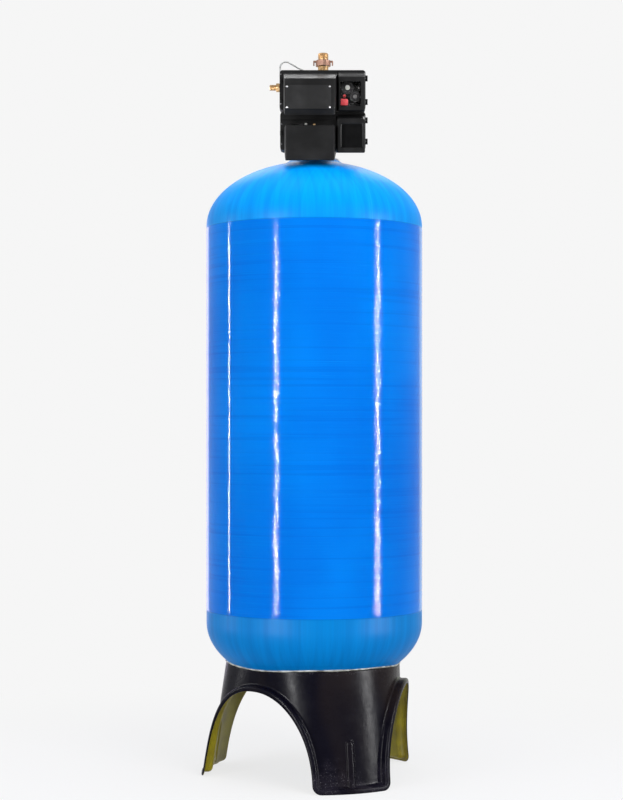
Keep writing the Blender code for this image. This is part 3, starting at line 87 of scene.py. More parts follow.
# Vessel, in metres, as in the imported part

TANK_RADIUS = 0.385
CYLINDER_LOW = 0.541
CYLINDER_HIGH = 1.946
TOP_RISE = 0.2305
BOTTOM_DROP = 0.234
SHELL_WALL = 0.008
NECK_RADIUS = 0.0945
NECK_FLARE = 0.018
NECK_RISE = 0.0085
NECK_BORE = 0.077
HOOP_TOP = 1.937
HOOP_BOTTOM = 0.586
HOOP_LAYER = 0.0011
HOOP_EDGE = 0.006
HOOP_RAG = 0.005
HOOP_BLEND = 0.003
TOW_DEPTH = 0.0006
DRIFT_DEPTH = 0.0008
CHORD_DEPTH = 0.0009
CHORD_CIRCLE = NECK_RADIUS * 0.9
POLE_RADIUS = 0.002
TANK_SEGMENTS = 192
HOOP_ROWS = 230
DOME_ROWS = 56
INNER_ROWS = 10

# Base

BASE_WALL = 0.006
LEG_ANGLES = (20.0, 140.0, 260.0)
LEG_PITCH = 120
ARCH_MIDDLE = LEG_PITCH / 2
SKIRT_RADIUS = 0.302
LEG_TOP_RADIUS = 0.313
LEG_FOOT_RADIUS = 0.372
ARCH_HALF_ANGLE = 41.0
ARCH_HEIGHT = 0.338
ARCH_POWER = 2.25
LIP_REACH = 0.030
LIP_FILLET = 0.008
LIP_SOFT = 0.0016
HEM_DEPTH = 0.012
FOOT_CORNER = 0.018
SEAT_WIDTH = 0.034
SEAT_GAP = 0.0010
RIB_WIDTH = 0.032
RIB_HEIGHT = 0.174
RIB_DEPTH = 0.009
BEAD_RADIUS = 0.0034
BEAD_OUT = 0.0008
BEAD_UP = 0.0016
BEAD_SIDES = 10
RIB_STEPS = 14
FOOT_STEPS = 6
CORNER_STEPS = 8
ARCH_STEPS = 34
FILLET_STEPS = 5

# The rows down the base's wall: from one share of its height to another, in so many steps

WALL_ROWS = ((0.0, 0.56, 36), (0.56, 0.70, 26), (0.70, 1.0, 24))

# Fittings on the valve

UNION_X = 0.0316
UNION_Y = -0.020
UNION_SEAT = 2.5238
UNION_TOP = 2.560
UNION_THREAD_LENGTH = 0.020
UNION_WATER = 0.0130
UNION_COLLAR = 0.0215
UNION_WAIST = 0.0160
UNION_THREAD = 0.0185
UNION_RIM = 0.003
UNION_PITCH = 0.0026
UNION_THREAD_DEPTH = 0.0011
DRAIN_Y = -0.045
DRAIN_Z = 2.434
DRAIN_REACH = 0.1227
DRAIN_HEX = 0.0162
DRAIN_HEX_WIDTH = 0.012
DRAIN_BEVEL = (0.0014, 0.0012)
DRAIN_TAIL = 0.023
DRAIN_SPIGOT = 0.0095
DRAIN_SPIGOT_LENGTH = 0.010
DRAIN_THREAD = 0.0105
DRAIN_BORE = 0.007
DRAIN_PITCH = 0.0024
DRAIN_THREAD_DEPTH = 0.0009
TUBE_RADIUS = 0.003
TUBE_START = (-0.1145, -0.045, 2.468)
TUBE_ROUTE = (
    (-0.1145, -0.045, 2.474),
    (-0.1205, -0.050, 2.494),
    (-0.1195, -0.054, 2.511),
    (-0.1080, -0.056, 2.522),
    (-0.0950, -0.054, 2.523),
    (-0.0760, -0.049, 2.514),
    (-0.0560, -0.041, 2.504),
    (-0.0380, -0.034, 2.496),
    (-0.0300, -0.030, 2.486),
)
TUBE_END = (-0.030, -0.030, 2.481)
TUBE_STEPS = 10
TUBE_SIDES = 16

# Behind the window: places and outlines are (X, Z), rings are (outer radius, colour) from the middle outwards

TIMER_FACE = -0.168
DIAL = (0.1154, 2.4114)
KNOB = (0.1415, 2.3797)
DIAL_RINGS = (
    (0.0081, (0.62, 0.62, 0.60)),
    (0.0104, (0.006, 0.006, 0.007)),
    (0.0205, (0.020, 0.020, 0.022)),
    (0.03, (0.045, 0.045, 0.047)),
)
KNOB_RINGS = (
    (0.0070, (0.13, 0.13, 0.13)),
    (0.0090, (0.008, 0.008, 0.009)),
    (0.03, (0.022, 0.022, 0.024)),
)
STICKER = (0.0915, 0.1165, 2.3450, 2.3672)
STICKER_RADII = (0.0008, 0.0008, 0.006, 0.0008)
STICKER_DEPTHS = (-0.2001, -0.1997)
# Painted glints on the dial, as grey marks on the timer's face: an outline, and an oval's middle with half its
# width and half its height; each with how far it stands out.
GLINT_ARC = ((0.1425, 2.4265), (0.1500, 2.4250), (0.1508, 2.4268), (0.1478, 2.4325), (0.1455, 2.4330))
GLINT_ARC_REACH = 0.0020
GLINT_SPOT = (0.1546, 2.4105, 0.0042, 0.0032)
GLINT_SPOT_REACH = 0.0022

# Covers: rectangles are (low X, high X, low Z, high Z), radii go round from the low corner, depths are Y.
# Each half slopes back from its front to its chin, and from there to its root on the flange.

RIGHT_FRONT = -0.205
FLANGE_FRONT = -0.1493
COVER_REAR = -0.1453
COVER_WALL = 0.003
COVER_SOFT = 0.0032
FLANGE_SOFT = 0.0008
ROOT_SOFT = 0.0012
ROOT_RADII = (0.0012,) * 4
SPECK = 0.002
SPECK_RADII = (0.001,) * 4
LEFT_HALF = {"depth": -0.245, "chin_depth": -0.2295, "flange_radii": (0.010, 0.0004, 0.0004, 0.010)}
RIGHT_HALF = {"depth": RIGHT_FRONT, "chin_depth": -0.1960, "flange_radii": (0.0004, 0.010, 0.010, 0.0004)}
UPPER_LEFT = {
    "front": (-0.1026, 0.0728, 2.3225, 2.4307), "radii": (0.003, 0.013, 0.003, 0.003),
    "chin": (-0.1034, 0.0735, 2.3066, 2.4362), "root": (-0.108, 0.0820, 2.3380, 2.4664),
    "flange": (-0.121, 0.0825, 2.3374, 2.4765), **LEFT_HALF,
}
UPPER_RIGHT = {
    "front": (0.0832, 0.1752, 2.3265, 2.4437), "radii": (0.003, 0.007, 0.005, 0.003),
    "chin": (0.0831, 0.1758, 2.3235, 2.4480), "root": (0.0831, 0.1765, 2.3380, 2.4690),
    "flange": (0.0826, 0.1785, 2.3374, 2.4765), **RIGHT_HALF,
}
LOWER_LEFT = {
    "front": (-0.0995, 0.0692, 2.1490, 2.2700), "radii": (0.003, 0.004, 0.004, 0.003),
    "chin": (-0.1000, 0.0702, 2.1500, 2.2716), "root": (-0.105, 0.0785, 2.1986, 2.2770),
    "flange": (-0.119, 0.0790, 2.1980, 2.3030), **LEFT_HALF,
}
LOWER_RIGHT = {
    "front": (0.0792, 0.1754, 2.1803, 2.3000), "radii": (0.004, 0.005, 0.011, 0.004),
    "chin": (0.0792, 0.1757, 2.1815, 2.3035), "root": (0.0793, 0.1765, 2.1986, 2.3190),
    "flange": (0.0791, 0.1785, 2.1980, 2.3230), **RIGHT_HALF,
}
WINDOW = (0.0896, 0.1608, 2.3416, 2.4276)
WINDOW_RADII = (0.003,) * 4
WINDOW_REAR = -0.201
WINDOW_SOFT = 0.0006
PANEL = (0.0908, 0.1688, 2.1951, 2.2838)
PANEL_RADII = (0.006,) * 4
PANEL_FLOOR = -0.2008
PANEL_SLOPE = 0.0042
PANEL_SOFT = 0.0008

# A ring this far inside a flat face's edge keeps the face's shading flat

HOLD = 0.0008

# Hinges and catches on the covers

HINGE_X = 0.1825
HINGE_Y = -0.145
KNUCKLE_RADIUS = 0.0036
KNUCKLE_LOW = 0.0103
KNUCKLE_HIGH = 0.020
KNUCKLE_SOFT = 0.0005
PIN_BORE = 0.0017
LEAF_START = 0.1762
LEAF_INSET = 0.0020
LEAF_BACK = 0.0007
HINGES = (("upper_cover", 2.438), ("upper_cover", 2.356), ("lower_cover", 2.292), ("lower_cover", 2.218))
CLIP_SPAN = (-0.1196, -0.1105)
CLIP_REACH = 0.0055
CLIP_CORNER = 0.0012
CLIPS = (
    ("catch_1", "upper_cover", 2.4266, 2.4450),
    ("catch_2", "upper_cover", 2.3672, 2.3755),
    ("catch_3", "lower_cover", 2.2480, 2.2640),
)

# Corners of less than these angles, in degrees, are shaded smooth

TURNED_CREASE = 38
SLAB_CREASE = 35
COVER_CREASE = 32
ROUNDED_STEPS = 4


# Shaders


def new_node(tree, kind, inputs=(), **settings):
    """A shader node. inputs holds values, or outputs of other nodes to link."""
    made = tree.nodes.new(kind)
    for key, value in settings.items():
        setattr(made, key, value)
    for key, value in dict(inputs).items():
        if isinstance(value, bpy.types.NodeSocket):
            tree.links.new(value, made.inputs[key])
        else:
            made.inputs[key].default_value = value
    return made


class Finish:
    """A procedural material in the making. Its coordinates are metres in the part's own frame."""

    def __init__(self, name, colour, roughness, metallic=0.0, specular=0.5):
        self.material = bpy.data.materials.new(name)
        self.material.use_nodes = True
        self.tree = self.material.node_tree
        self.shader = self.tree.nodes["Principled BSDF"]
        self.set("Base Color", (*colour, 1.0))
        self.set("Roughness", roughness)
        self.set("Metallic", metallic)
        self.set("Specular IOR Level", specular)
        self.place = self.node("ShaderNodeTexCoord").outputs["Object"]
        self.normal = None

    def set(self, socket, value):
        self.shader.inputs[socket].default_value = value

    def drive(self, socket, output):
        self.tree.links.new(output, self.shader.inputs[socket])

    def paint(self, output):
        self.drive("Base Color", output)

    def node(self, kind, inputs=(), **settings):
        return new_node(self.tree, kind, inputs, **settings)

    def scaled(self, scale, place=None):
        """Coordinates for a texture. scale is one number, or one for each axis."""
        scale = scale if isinstance(scale, tuple) else (scale,) * 3
        inputs = {"Vector": place or self.place, "Scale": scale}
        return self.node("ShaderNodeMapping", inputs).outputs["Vector"]

    def noise(self, scale, detail=3.0, rough=0.5, place=None, distortion=0.0):
        inputs = {"Vector": self.scaled(scale, place), "Scale": 1.0, "Detail": detail, "Roughness": rough}
        inputs["Distortion"] = distortion
        return self.node("ShaderNodeTexNoise", inputs).outputs[0]

    def cells(self, scale):
        inputs = {"Vector": self.scaled(scale), "Scale": 1.0}
        return self.node("ShaderNodeTexVoronoi", inputs).outputs["Distance"]

    def span(self, value, low, high, start=0.0, end=1.0, smooth=True):
        """value mapped from low…high to start…end, and held at both ends."""
        inputs = {"Value": value, "From Min": low, "From Max": high, "To Min": start, "To Max": end}
        shape = "SMOOTHSTEP" if smooth else "LINEAR"
        return self.node("ShaderNodeMapRange", inputs, interpolation_type=shape).outputs[0]

    def maths(self, operation, first, second=0.0):
        return self.node("ShaderNodeMath", {0: first, 1: second}, operation=operation).outputs[0]

    def times(self, first, second):
        return self.maths("MULTIPLY", first, second)

    def vector(self, operation, first, second=(0.0, 0.0, 0.0)):
        return self.node("ShaderNodeVectorMath", {0: first, 1: second}, operation=operation)

    def mix(self, factor, first, second):
        """Colours mixed by a factor from 0 to 1."""
        colours = {6: first, 7: second}
        for socket, value in colours.items():
            if isinstance(value, tuple):
                colours[socket] = (*value, 1.0)
        return self.node("ShaderNodeMix", {0: factor, **colours}, data_type="RGBA").outputs[2]

    def bump(self, height, distance, strength):
        inputs = {"Height": height, "Distance": distance, "Strength": strength}
        if self.normal:
            inputs["Normal"] = self.normal
        self.normal = self.node("ShaderNodeBump", inputs).outputs["Normal"]

    def done(self):
        if self.normal:
            self.drive("Normal", self.normal)
        return self.material


def height_of(finish):
    return finish.node("ShaderNodeSeparateXYZ", {"Vector": finish.place}).outputs["Z"]


def lay_direction(finish, turn):
    """Coordinates in which a dome's fibres run straight: chords that touch the neck, one way or the other."""
    flat = finish.vector("MULTIPLY", finish.place, (1.0, 1.0, 0.0)).outputs[0]
    radius = finish.vector("LENGTH", flat).outputs["Value"]
    share = finish.maths("DIVIDE", CHORD_CIRCLE, finish.maths("MAXIMUM", radius, NECK_RADIUS))
    angle = finish.times(finish.maths("ARCCOSINE", share), turn)
    inputs = {"Vector": finish.vector("NORMALIZE", flat).outputs[0], "Angle": angle}
    return finish.node("ShaderNodeVectorRotate", inputs, rotation_type="Z_AXIS").outputs["Vector"]


def blue_winding():
    """Blue gel coat over glass fibre: level hoops on the straight side, crossing chords on the domes; the top
    dome is painted lighter as painted light from above, the bottom dome darker as painted shade.
    """
    finish = Finish("blue_winding", (0.0, 0.2, 0.9), 0.17, specular=0.50)
    finish.set("IOR", 1.12)
    height = height_of(finish)
    upper = finish.span(height, HOOP_TOP - HOOP_BLEND, HOOP_TOP + HOOP_BLEND)
    lower = finish.span(height, HOOP_BOTTOM + HOOP_BLEND, HOOP_BOTTOM - HOOP_BLEND)
    dome = finish.maths("MAXIMUM", upper, lower)
    hoop = finish.maths("SUBTRACT", 1.0, dome)
    fine = finish.noise((2.2, 2.2, 420.0), 4.0, 0.65)
    tow = finish.noise((0.9, 0.9, 78.0), 2.0, 0.5)
    broken = finish.noise((5.0, 5.0, 260.0), 3.0, 0.6)
    cloud = finish.noise((2.6, 2.6, 1.5), 2.0, 0.5)
    right = finish.noise((15.0, 15.0, 1.2), 4.0, 0.62, lay_direction(finish, 1.0))
    left = finish.noise((15.0, 15.0, 1.2), 4.0, 0.62, lay_direction(finish, -1.0))
    cross = finish.times(finish.maths("ADD", right, left), 0.5)
    body = finish.mix(finish.span(cloud, 0.35, 0.68), (0.0, 0.196, 0.88), (0.0, 0.252, 0.99))
    body = finish.mix(finish.span(fine, 0.50, 0.78, 0.0, 0.40), body, (0.0, 0.345, 1.0))
    body = finish.mix(finish.span(tow, 0.48, 0.30, 0.0, 0.45), body, (0.0, 0.150, 0.80))
    body = finish.mix(finish.span(broken, 0.64, 0.80, 0.0, 0.30), body, (0.02, 0.40, 1.0))
    # Dome colours are partly the domes' own tone and partly painted light: the top dome is painted lighter
    # (painted light from above), the bottom dome darker (painted shade).
    crown_with_painted_light = finish.mix(finish.span(cross, 0.38, 0.62), (0.0, 0.290, 0.93), (0.0, 0.365, 1.0))
    crown_with_painted_light = finish.mix(finish.span(right, 0.66, 0.76, 0.0, 0.30), crown_with_painted_light, (0.10, 0.52, 1.0))
    bowl_with_painted_shade = finish.mix(finish.span(cross, 0.38, 0.62), (0.0, 0.225, 0.70), (0.0, 0.275, 0.79))
    seam = finish.times(finish.span(dome, 0.1, 0.5), finish.span(dome, 0.95, 0.55))
    colour = finish.mix(upper, finish.mix(lower, body, bowl_with_painted_shade), crown_with_painted_light)
    colour = finish.mix(finish.times(seam, 0.45), colour, (0.0, 0.09, 0.42))
    finish.paint(colour)
    gloss = finish.span(broken, 0.3, 0.8, 0.034, 0.066)
    finish.drive("Roughness", finish.span(dome, 0.0, 1.0, gloss, 0.42, smooth=False))
    finish.bump(finish.times(broken, hoop), 0.0010, 0.36)
    finish.bump(finish.times(tow, hoop), 0.0012, 0.30)
    finish.bump(finish.times(cross, dome), 0.0022, 0.30)
    finish.bump(finish.noise(150.0, 2.0), 0.0001, 0.1)
    return finish.done()


def gloss_black():
    """The base's black outer face: glossy, with dust and fine scuffs low down and under the vessel, and soft
    brownish vertical bands of painted sheen.
    """
    finish = Finish("base_black", (0.005, 0.0045, 0.010), 0.40, specular=0.030)
    height = height_of(finish)
    scuffed = finish.noise((9.0, 9.0, 16.0), 5.0, 0.7)
    speck = finish.noise(230.0, 3.0, 0.7)
    low = finish.span(height, 0.27, 0.03)
    rim = finish.span(height, 0.372, 0.398)
    soiled = finish.maths("MAXIMUM", finish.times(low, 0.75), rim)
    worn = finish.times(soiled, scuffed)
    dust = finish.times(finish.span(speck, 0.58, 0.74), finish.span(worn, 0.28, 0.50))
    haze = finish.span(finish.times(scuffed, low), 0.38, 0.66, 0.0, 0.30)
    colour = finish.mix(haze, (0.005, 0.0045, 0.010), (0.045, 0.038, 0.058))
    # Soft brownish vertical bands: painted sheen, a painted reflection on the glossy black.
    painted_sheen_band = finish.noise((3.4, 3.4, 0.5), 2.0, 0.5)
    colour = finish.mix(finish.span(painted_sheen_band, 0.48, 0.66, 0.0, 0.60), colour, (0.038, 0.027, 0.022))
    colour = finish.mix(dust, colour, (0.26, 0.25, 0.28))
    finish.paint(colour)
    finish.drive("Roughness", finish.span(finish.maths("ADD", scuffed, haze), 0.35, 0.95, 0.25, 0.50))
    finish.bump(finish.noise((16.0, 16.0, 9.0), 3.0, 0.5), 0.0050, 0.30)
    finish.bump(speck, 0.0003, 0.25)
    return finish.done()


def bare_laminate():
    """The base's unpainted inner face: olive-yellow resin over chopped strands."""
    finish = Finish("base_inside", (0.20, 0.19, 0.0), 0.46, specular=0.3)
    strand = finish.noise((70.0, 70.0, 26.0), 4.0, 0.7, distortion=1.2)
    cloud = finish.noise(8.0, 3.0, 0.5)
    colour = finish.mix(finish.span(cloud, 0.3, 0.7), (0.190, 0.150, 0.002), (0.400, 0.330, 0.0))
    colour = finish.mix(finish.span(strand, 0.56, 0.72, 0.0, 0.5), colour, (0.42, 0.38, 0.02))
    finish.paint(colour)
    finish.bump(strand, 0.0012, 0.5)
    return finish.done()


def pale_sealant():
    """The thin pale line of sealant between the base's rim and the vessel."""
    finish = Finish("pale_sealant", (0.55, 0.56, 0.50), 0.5)
    blot = finish.noise((26.0, 26.0, 60.0), 4.0, 0.6)
    colour = finish.mix(finish.span(blot, 0.35, 0.62), (0.16, 0.16, 0.13), (0.62, 0.64, 0.56))
    finish.paint(colour)
    finish.bump(blot, 0.002, 0.6)
    return finish.done()


def satin_black(name, colour, roughness, grain=900.0):
    """Injection-moulded black plastic with a fine spark-eroded texture."""
    finish = Finish(name, colour, roughness, specular=0.11)
    pit = finish.noise(grain, 2.0, 0.6)
    cloud = finish.noise(14.0, 3.0, 0.5)
    light = tuple(part * 1.5 + 0.003 for part in colour)
    finish.paint(finish.mix(finish.span(cloud, 0.3, 0.75), colour, light))
    finish.drive("Roughness", finish.span(cloud, 0.25, 0.75, roughness * 0.88, roughness * 1.15))
    finish.bump(pit, 0.0002, 0.35)
    return finish.done()


def plain_plastic(name, colour, roughness, metallic=0.0, specular=0.5):
    """Moulded plastic or rubber with slight clouding and a fine grain."""
    finish = Finish(name, colour, roughness, metallic, specular)
    cloud = finish.noise(45.0, 3.0, 0.55)
    dark = tuple(part * 0.80 for part in colour)
    finish.paint(finish.mix(finish.span(cloud, 0.32, 0.68), dark, colour))
    finish.drive("Roughness", finish.span(cloud, 0.3, 0.7, roughness * 0.85, min(1.0, roughness * 1.2)))
    finish.bump(finish.noise(420.0, 2.0), 0.0002, 0.3)
    return finish.done()


def ringed_plastic(name, centre, rings, roughness):
    """Plastic in plain rings round an axis along Y."""
    finish = Finish(name, rings[-1][1], roughness, specular=0.25)
    across = finish.vector("SUBTRACT", finish.place, (centre[0], 0.0, centre[1])).outputs[0]
    flat = finish.vector("MULTIPLY", across, (1.0, 0.0, 1.0)).outputs[0]
    radius = finish.vector("LENGTH", flat).outputs["Value"]
    colour = rings[-1][1]
    for outer, inner_colour in reversed(rings[:-1]):
        colour = finish.mix(finish.span(radius, outer + 0.0002, outer - 0.0002), colour, inner_colour)
    cloud = finish.noise(60.0, 3.0, 0.6)
    finish.paint(finish.mix(finish.span(cloud, 0.3, 0.7, 0.0, 0.25), colour, (0.0, 0.0, 0.0)))
    finish.bump(finish.noise(700.0, 2.0), 0.0001, 0.3)
    return finish.done()


def cast_brass(name, colour, dull, roughness):
    """Turned and cast brass: fine turning lines, dull patches where it was handled."""
    finish = Finish(name, colour, roughness, metallic=1.0)
    patch = finish.noise(60.0, 4.0, 0.6)
    line = finish.noise((40.0, 40.0, 1500.0), 2.0, 0.5)
    finish.paint(finish.mix(finish.span(patch, 0.42, 0.70), colour, dull))
    finish.drive("Roughness", finish.span(patch, 0.3, 0.7, roughness * 0.8, roughness * 1.35))
    finish.bump(line, 0.0002, 0.25)
    finish.bump(patch, 0.0006, 0.3)
    return finish.done()


def grains(name, light, dark, size):
    """A bed of separate grains."""
    finish = Finish(name, light, 0.6)
    scale = 1.0 / size
    cell = finish.cells(scale)
    tint = finish.noise(scale * 0.6, 2.0)
    finish.paint(finish.mix(finish.span(tint, 0.35, 0.65), dark, light))
    finish.bump(cell, size * 0.5, 0.8)
    return finish.done()


def clear_window():
    """Thin clear plastic: nearly invisible, with a faint gloss and some scratches."""
    finish = Finish("clear_window", (1.0, 1.0, 1.0), 0.04, specular=0.12)
    finish.set("Transmission Weight", 1.0)
    finish.set("IOR", 1.08)
    scratch = finish.noise((120.0, 120.0, 700.0), 3.0, 0.7)
    finish.drive("Roughness", finish.span(scratch, 0.6, 0.8, 0.02, 0.10))
    return finish.done()


# Pieces


def new_object(name, data):
    """An object in the scene's own collection."""
    made = bpy.data.objects.new(name, data)
    bpy.context.scene.collection.objects.link(made)
    return made


def new_piece(name, points, faces, materials, slots=None):
    """A smooth mesh object. slots holds the material index of each face."""
    mesh = bpy.data.meshes.new(name)
    mesh.from_pydata(points, [], faces)
    for material in materials:
        mesh.materials.append(material)
    mesh.polygons.foreach_set("use_smooth", [True] * len(faces))
    if slots:
        mesh.polygons.foreach_set("material_index", slots)
    mesh.update()
    return new_object(name, mesh)


def dress(piece, body, slot, *nodes):
    """Ties a piece to its body, in place of the CAD nodes that it stands for; slot is not used."""
    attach(piece, body)
    if nodes:
        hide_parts(*nodes)


def loft(name, sections, materials, slots=None):
    """Joins closed sections of equal length into a ring. slots holds the material index along a section."""
    slots = (slots or [0] * len(sections[0])) * len(sections)
    return new_piece(name, *skinned(sections, True), materials, slots)


def skinned(rows, closed=False):
    """Points and faces of a body through rows of points, closed into a ring or with both ends filled."""
    points = [point for row in rows for point in row]
    size = len(rows[0])
    faces = []
    for row in range(len(rows) if closed else len(rows) - 1):
        low, high = row * size, (row + 1) % len(rows) * size
        for step in range(size):
            after = (step + 1) % size
            faces.append((low + step, low + after, high + after, high + step))
    if not closed:
        faces.append(tuple(reversed(range(size))))
        faces.append(tuple(range(len(points) - size, len(points))))
    return points, faces


def turns(count):
    """The angles of even steps round a circle."""
    return [2 * math.pi * step / count for step in range(count)]


def round_axis(angle, radius, height):
    """The point at an angle round the vessel's axis, from the front to the right."""
    return (radius * math.sin(angle), -radius * math.cos(angle), height)


def smooth_step(value, low, high):
    """0 below low, 1 above high, and a soft rise between them."""
    share = min(1.0, max(0.0, (value - low) / (high - low)))
    return share * share * (3.0 - 2.0 * share)


# Vessel


def dome_height(radius, inset, top):
    reach = TANK_RADIUS - inset
    rise = (TOP_RISE if top else BOTTOM_DROP) - inset
    fraction = math.sqrt(max(0.0, 1.0 - (radius / reach) ** 2))
    return CYLINDER_HIGH + rise * fraction if top else CYLINDER_LOW - rise * fraction


def dome_rows(inset, top, inner_radius, rows):
    """Radius and height of the rows over a dome, from its widest circle inwards."""
    reach = TANK_RADIUS - inset
    last = math.acos(inner_radius / reach)
    radii = [reach * math.cos(last * row / rows) for row in range(rows + 1)]
    return [(radius, dome_height(radius, inset, top)) for radius in radii]


def noise_round(angle, scale, level):
    """Noise round the vessel's axis, on a circle of radius scale at a level along the axis."""
    return noise.noise(Vector((math.cos(angle) * scale, math.sin(angle) * scale, level)))


def tow_relief(angle, height):
    """How far the hoop layer lies below its highest tows, in metres."""
    depth = 0.55 + 0.5 * noise_round(angle, 1.6, height * 62.0) + 0.25 * noise_round(angle, 3.0, height * 150.0)
    return TOW_DEPTH * max(0.0, depth) + DRIFT_DEPTH * (0.5 + 0.5 * noise_round(angle, 1.2, height * 9.0))


def chord_relief(angle, radius):
    """How far the dome's surface lies below its highest crossing tows, in metres."""
    turn = math.acos(min(1.0, CHORD_CIRCLE / max(radius, NECK_RADIUS)))
    total = noise_round(angle + turn, 9.0, 0.0) + noise_round(angle - turn, 9.0, 3.0)
    return CHORD_DEPTH * max(0.0, 0.5 + 0.5 * total)


def tank_rows():
    """The rows round the wound shell, from the neck's bore over the outside and back up the inside."""
    neck_top = dome_height(NECK_RADIUS, 0.0, True) + NECK_RISE
    bevel = NECK_RISE / 3
    hoop_step = (CYLINDER_HIGH - CYLINDER_LOW) / HOOP_ROWS
    groups = (
        ("neck", [(NECK_BORE, neck_top), (NECK_RADIUS - bevel, neck_top), (NECK_RADIUS, neck_top - bevel)]),
        ("dome", reversed(dome_rows(HOOP_LAYER, True, NECK_RADIUS + NECK_FLARE, DOME_ROWS))),
        ("hoop", [(TANK_RADIUS, CYLINDER_HIGH - hoop_step * row) for row in range(1, HOOP_ROWS)]),
        ("dome", dome_rows(HOOP_LAYER, False, POLE_RADIUS, DOME_ROWS)),
        ("inner", reversed(dome_rows(SHELL_WALL, False, POLE_RADIUS, INNER_ROWS))),
        ("inner", dome_rows(SHELL_WALL, True, NECK_BORE, INNER_ROWS)),
    )
    return [(kind, radius, height) for kind, rows in groups for radius, height in rows]


def make_tank(material):
    """The wound shell: crossing tows on the domes, and a hoop layer with ragged ends on the straight side."""
    rows = tank_rows()
    sections = []
    for angle in turns(TANK_SEGMENTS):
        ragged = HOOP_RAG * noise_round(angle, 11.0, 5.0)
        section = []
        for kind, radius, height in rows:
            if kind == "hoop":
                end = min(HOOP_TOP - height, height - HOOP_BOTTOM) + ragged
                share = smooth_step(end, 0.0, HOOP_EDGE)
                bare = HOOP_LAYER + chord_relief(angle, TANK_RADIUS)
                radius -= tow_relief(angle, height) * share + bare * (1.0 - share)
            elif kind == "dome":
                radius -= chord_relief(angle, radius) * min(1.0, radius / NECK_RADIUS)
            section.append(round_axis(angle, radius, height))
        sections.append(section)
    dress(loft("wound_shell", sections, [material]), "root", "blue_shell", "tank_shell")


# Base


def leg_share(off):
    """1 on a leg and 0 in the middle of an arch; off is degrees from the leg's middle."""
    return 1.0 - smooth_step(off, ARCH_MIDDLE - ARCH_HALF_ANGLE, ARCH_MIDDLE)


def rim_radius(off):
    return SKIRT_RADIUS + leg_share(off) * (LEG_TOP_RADIUS - SKIRT_RADIUS)


def rim_height(radius):
    return dome_height(radius, 0.0, False) - SEAT_GAP


def wall_radius(off, height):
    top = dome_height(LEG_TOP_RADIUS, 0.0, False)
    leg = LEG_TOP_RADIUS + (LEG_FOOT_RADIUS - LEG_TOP_RADIUS) * (1.0 - height / top)
    return SKIRT_RADIUS + leg_share(off) * (leg - SKIRT_RADIUS)


def rib_bump(off, height):
    """How far the rib down a leg's middle stands out: round-topped, with soft shoulders."""
    half = RIB_WIDTH / 2
    across = math.radians(off) * LEG_FOOT_RADIUS
    above = max(0.0, height - (RIB_HEIGHT - half))
    share = max(0.0, 1.0 - math.hypot(across, above) / half)
    return RIB_DEPTH * (1.0 - (1.0 - share) ** 3)


def edge_samples():
    """Points along half a leg's lower edge: degrees, height, degrees at the rim, the way into the opening."""
    rib = math.degrees(RIB_WIDTH / 2 / LEG_FOOT_RADIUS) * 1.1
    low = HEM_DEPTH + FOOT_CORNER
    bend = 2.0 / ARCH_POWER
    first = math.asin((low / ARCH_HEIGHT) ** (1.0 / bend))
    face = ARCH_MIDDLE - ARCH_HALF_ANGLE * math.cos(first) ** bend
    corner = face - math.degrees(FOOT_CORNER / LEG_FOOT_RADIUS)
    flat = [rib * step / RIB_STEPS for step in range(RIB_STEPS)]
    flat += [rib + (corner - rib) * step / FOOT_STEPS for step in range(FOOT_STEPS)]
    samples = [(off, HEM_DEPTH, off, 0.0, -1.0) for off in flat]
    for step in range(CORNER_STEPS + 1):
        turn = math.pi / 2 * step / CORNER_STEPS
        off = corner + (face - corner) * math.sin(turn)
        samples.append((off, low - FOOT_CORNER * math.cos(turn), off, math.sin(turn), -math.cos(turn)))
    for step in range(1, ARCH_STEPS + 1):
        angle = first + (math.pi / 2 - first) * step / ARCH_STEPS
        cosine = max(math.cos(angle), 0.0)
        off = ARCH_MIDDLE - ARCH_HALF_ANGLE * cosine ** bend
        height = ARCH_HEIGHT * math.sin(angle) ** bend
        across = math.radians(ARCH_HALF_ANGLE) * wall_radius(off, height) * math.sin(angle)
        across *= max(cosine, 0.001) ** (bend - 1.0)
        rise = ARCH_HEIGHT * math.cos(angle) * math.sin(angle) ** (bend - 1.0)
        size = math.hypot(across, rise)
        top_off = face + (ARCH_MIDDLE - face) * step / ARCH_STEPS
        samples.append((off, height, top_off, rise / size, -across / size))
    samples[-1] = (ARCH_MIDDLE, ARCH_HEIGHT, ARCH_MIDDLE, 0.0, -1.0)
    return samples


def lip_outline(bump):
    """The rolled lip in section, its outer face and its inner one: (out from the wall, towards the opening)."""
    wall = BASE_WALL
    bend = LIP_FILLET
    reach = LIP_REACH
    steps = [math.pi / 2 * step / FILLET_STEPS for step in range(FILLET_STEPS + 1)]
    soft = LIP_SOFT
    outer = [(max(bump, bend - bend * math.cos(t)), -wall - bend + bend * math.sin(t)) for t in steps]
    outer += [(reach - bend + bend * math.sin(t), bend - wall - bend * math.cos(t)) for t in steps]
    outer += [(reach, HEM_DEPTH - soft), (reach - soft, HEM_DEPTH)]
    inner = [(reach - wall + soft, HEM_DEPTH), (reach - wall, HEM_DEPTH - soft)]
    inner += [(reach - wall, soft), (reach - wall - soft, 0.0)]
    turn = bend + wall
    inner += [(bend - turn * math.cos(t), turn * math.sin(t) - turn) for t in reversed(steps)]
    return outer, inner


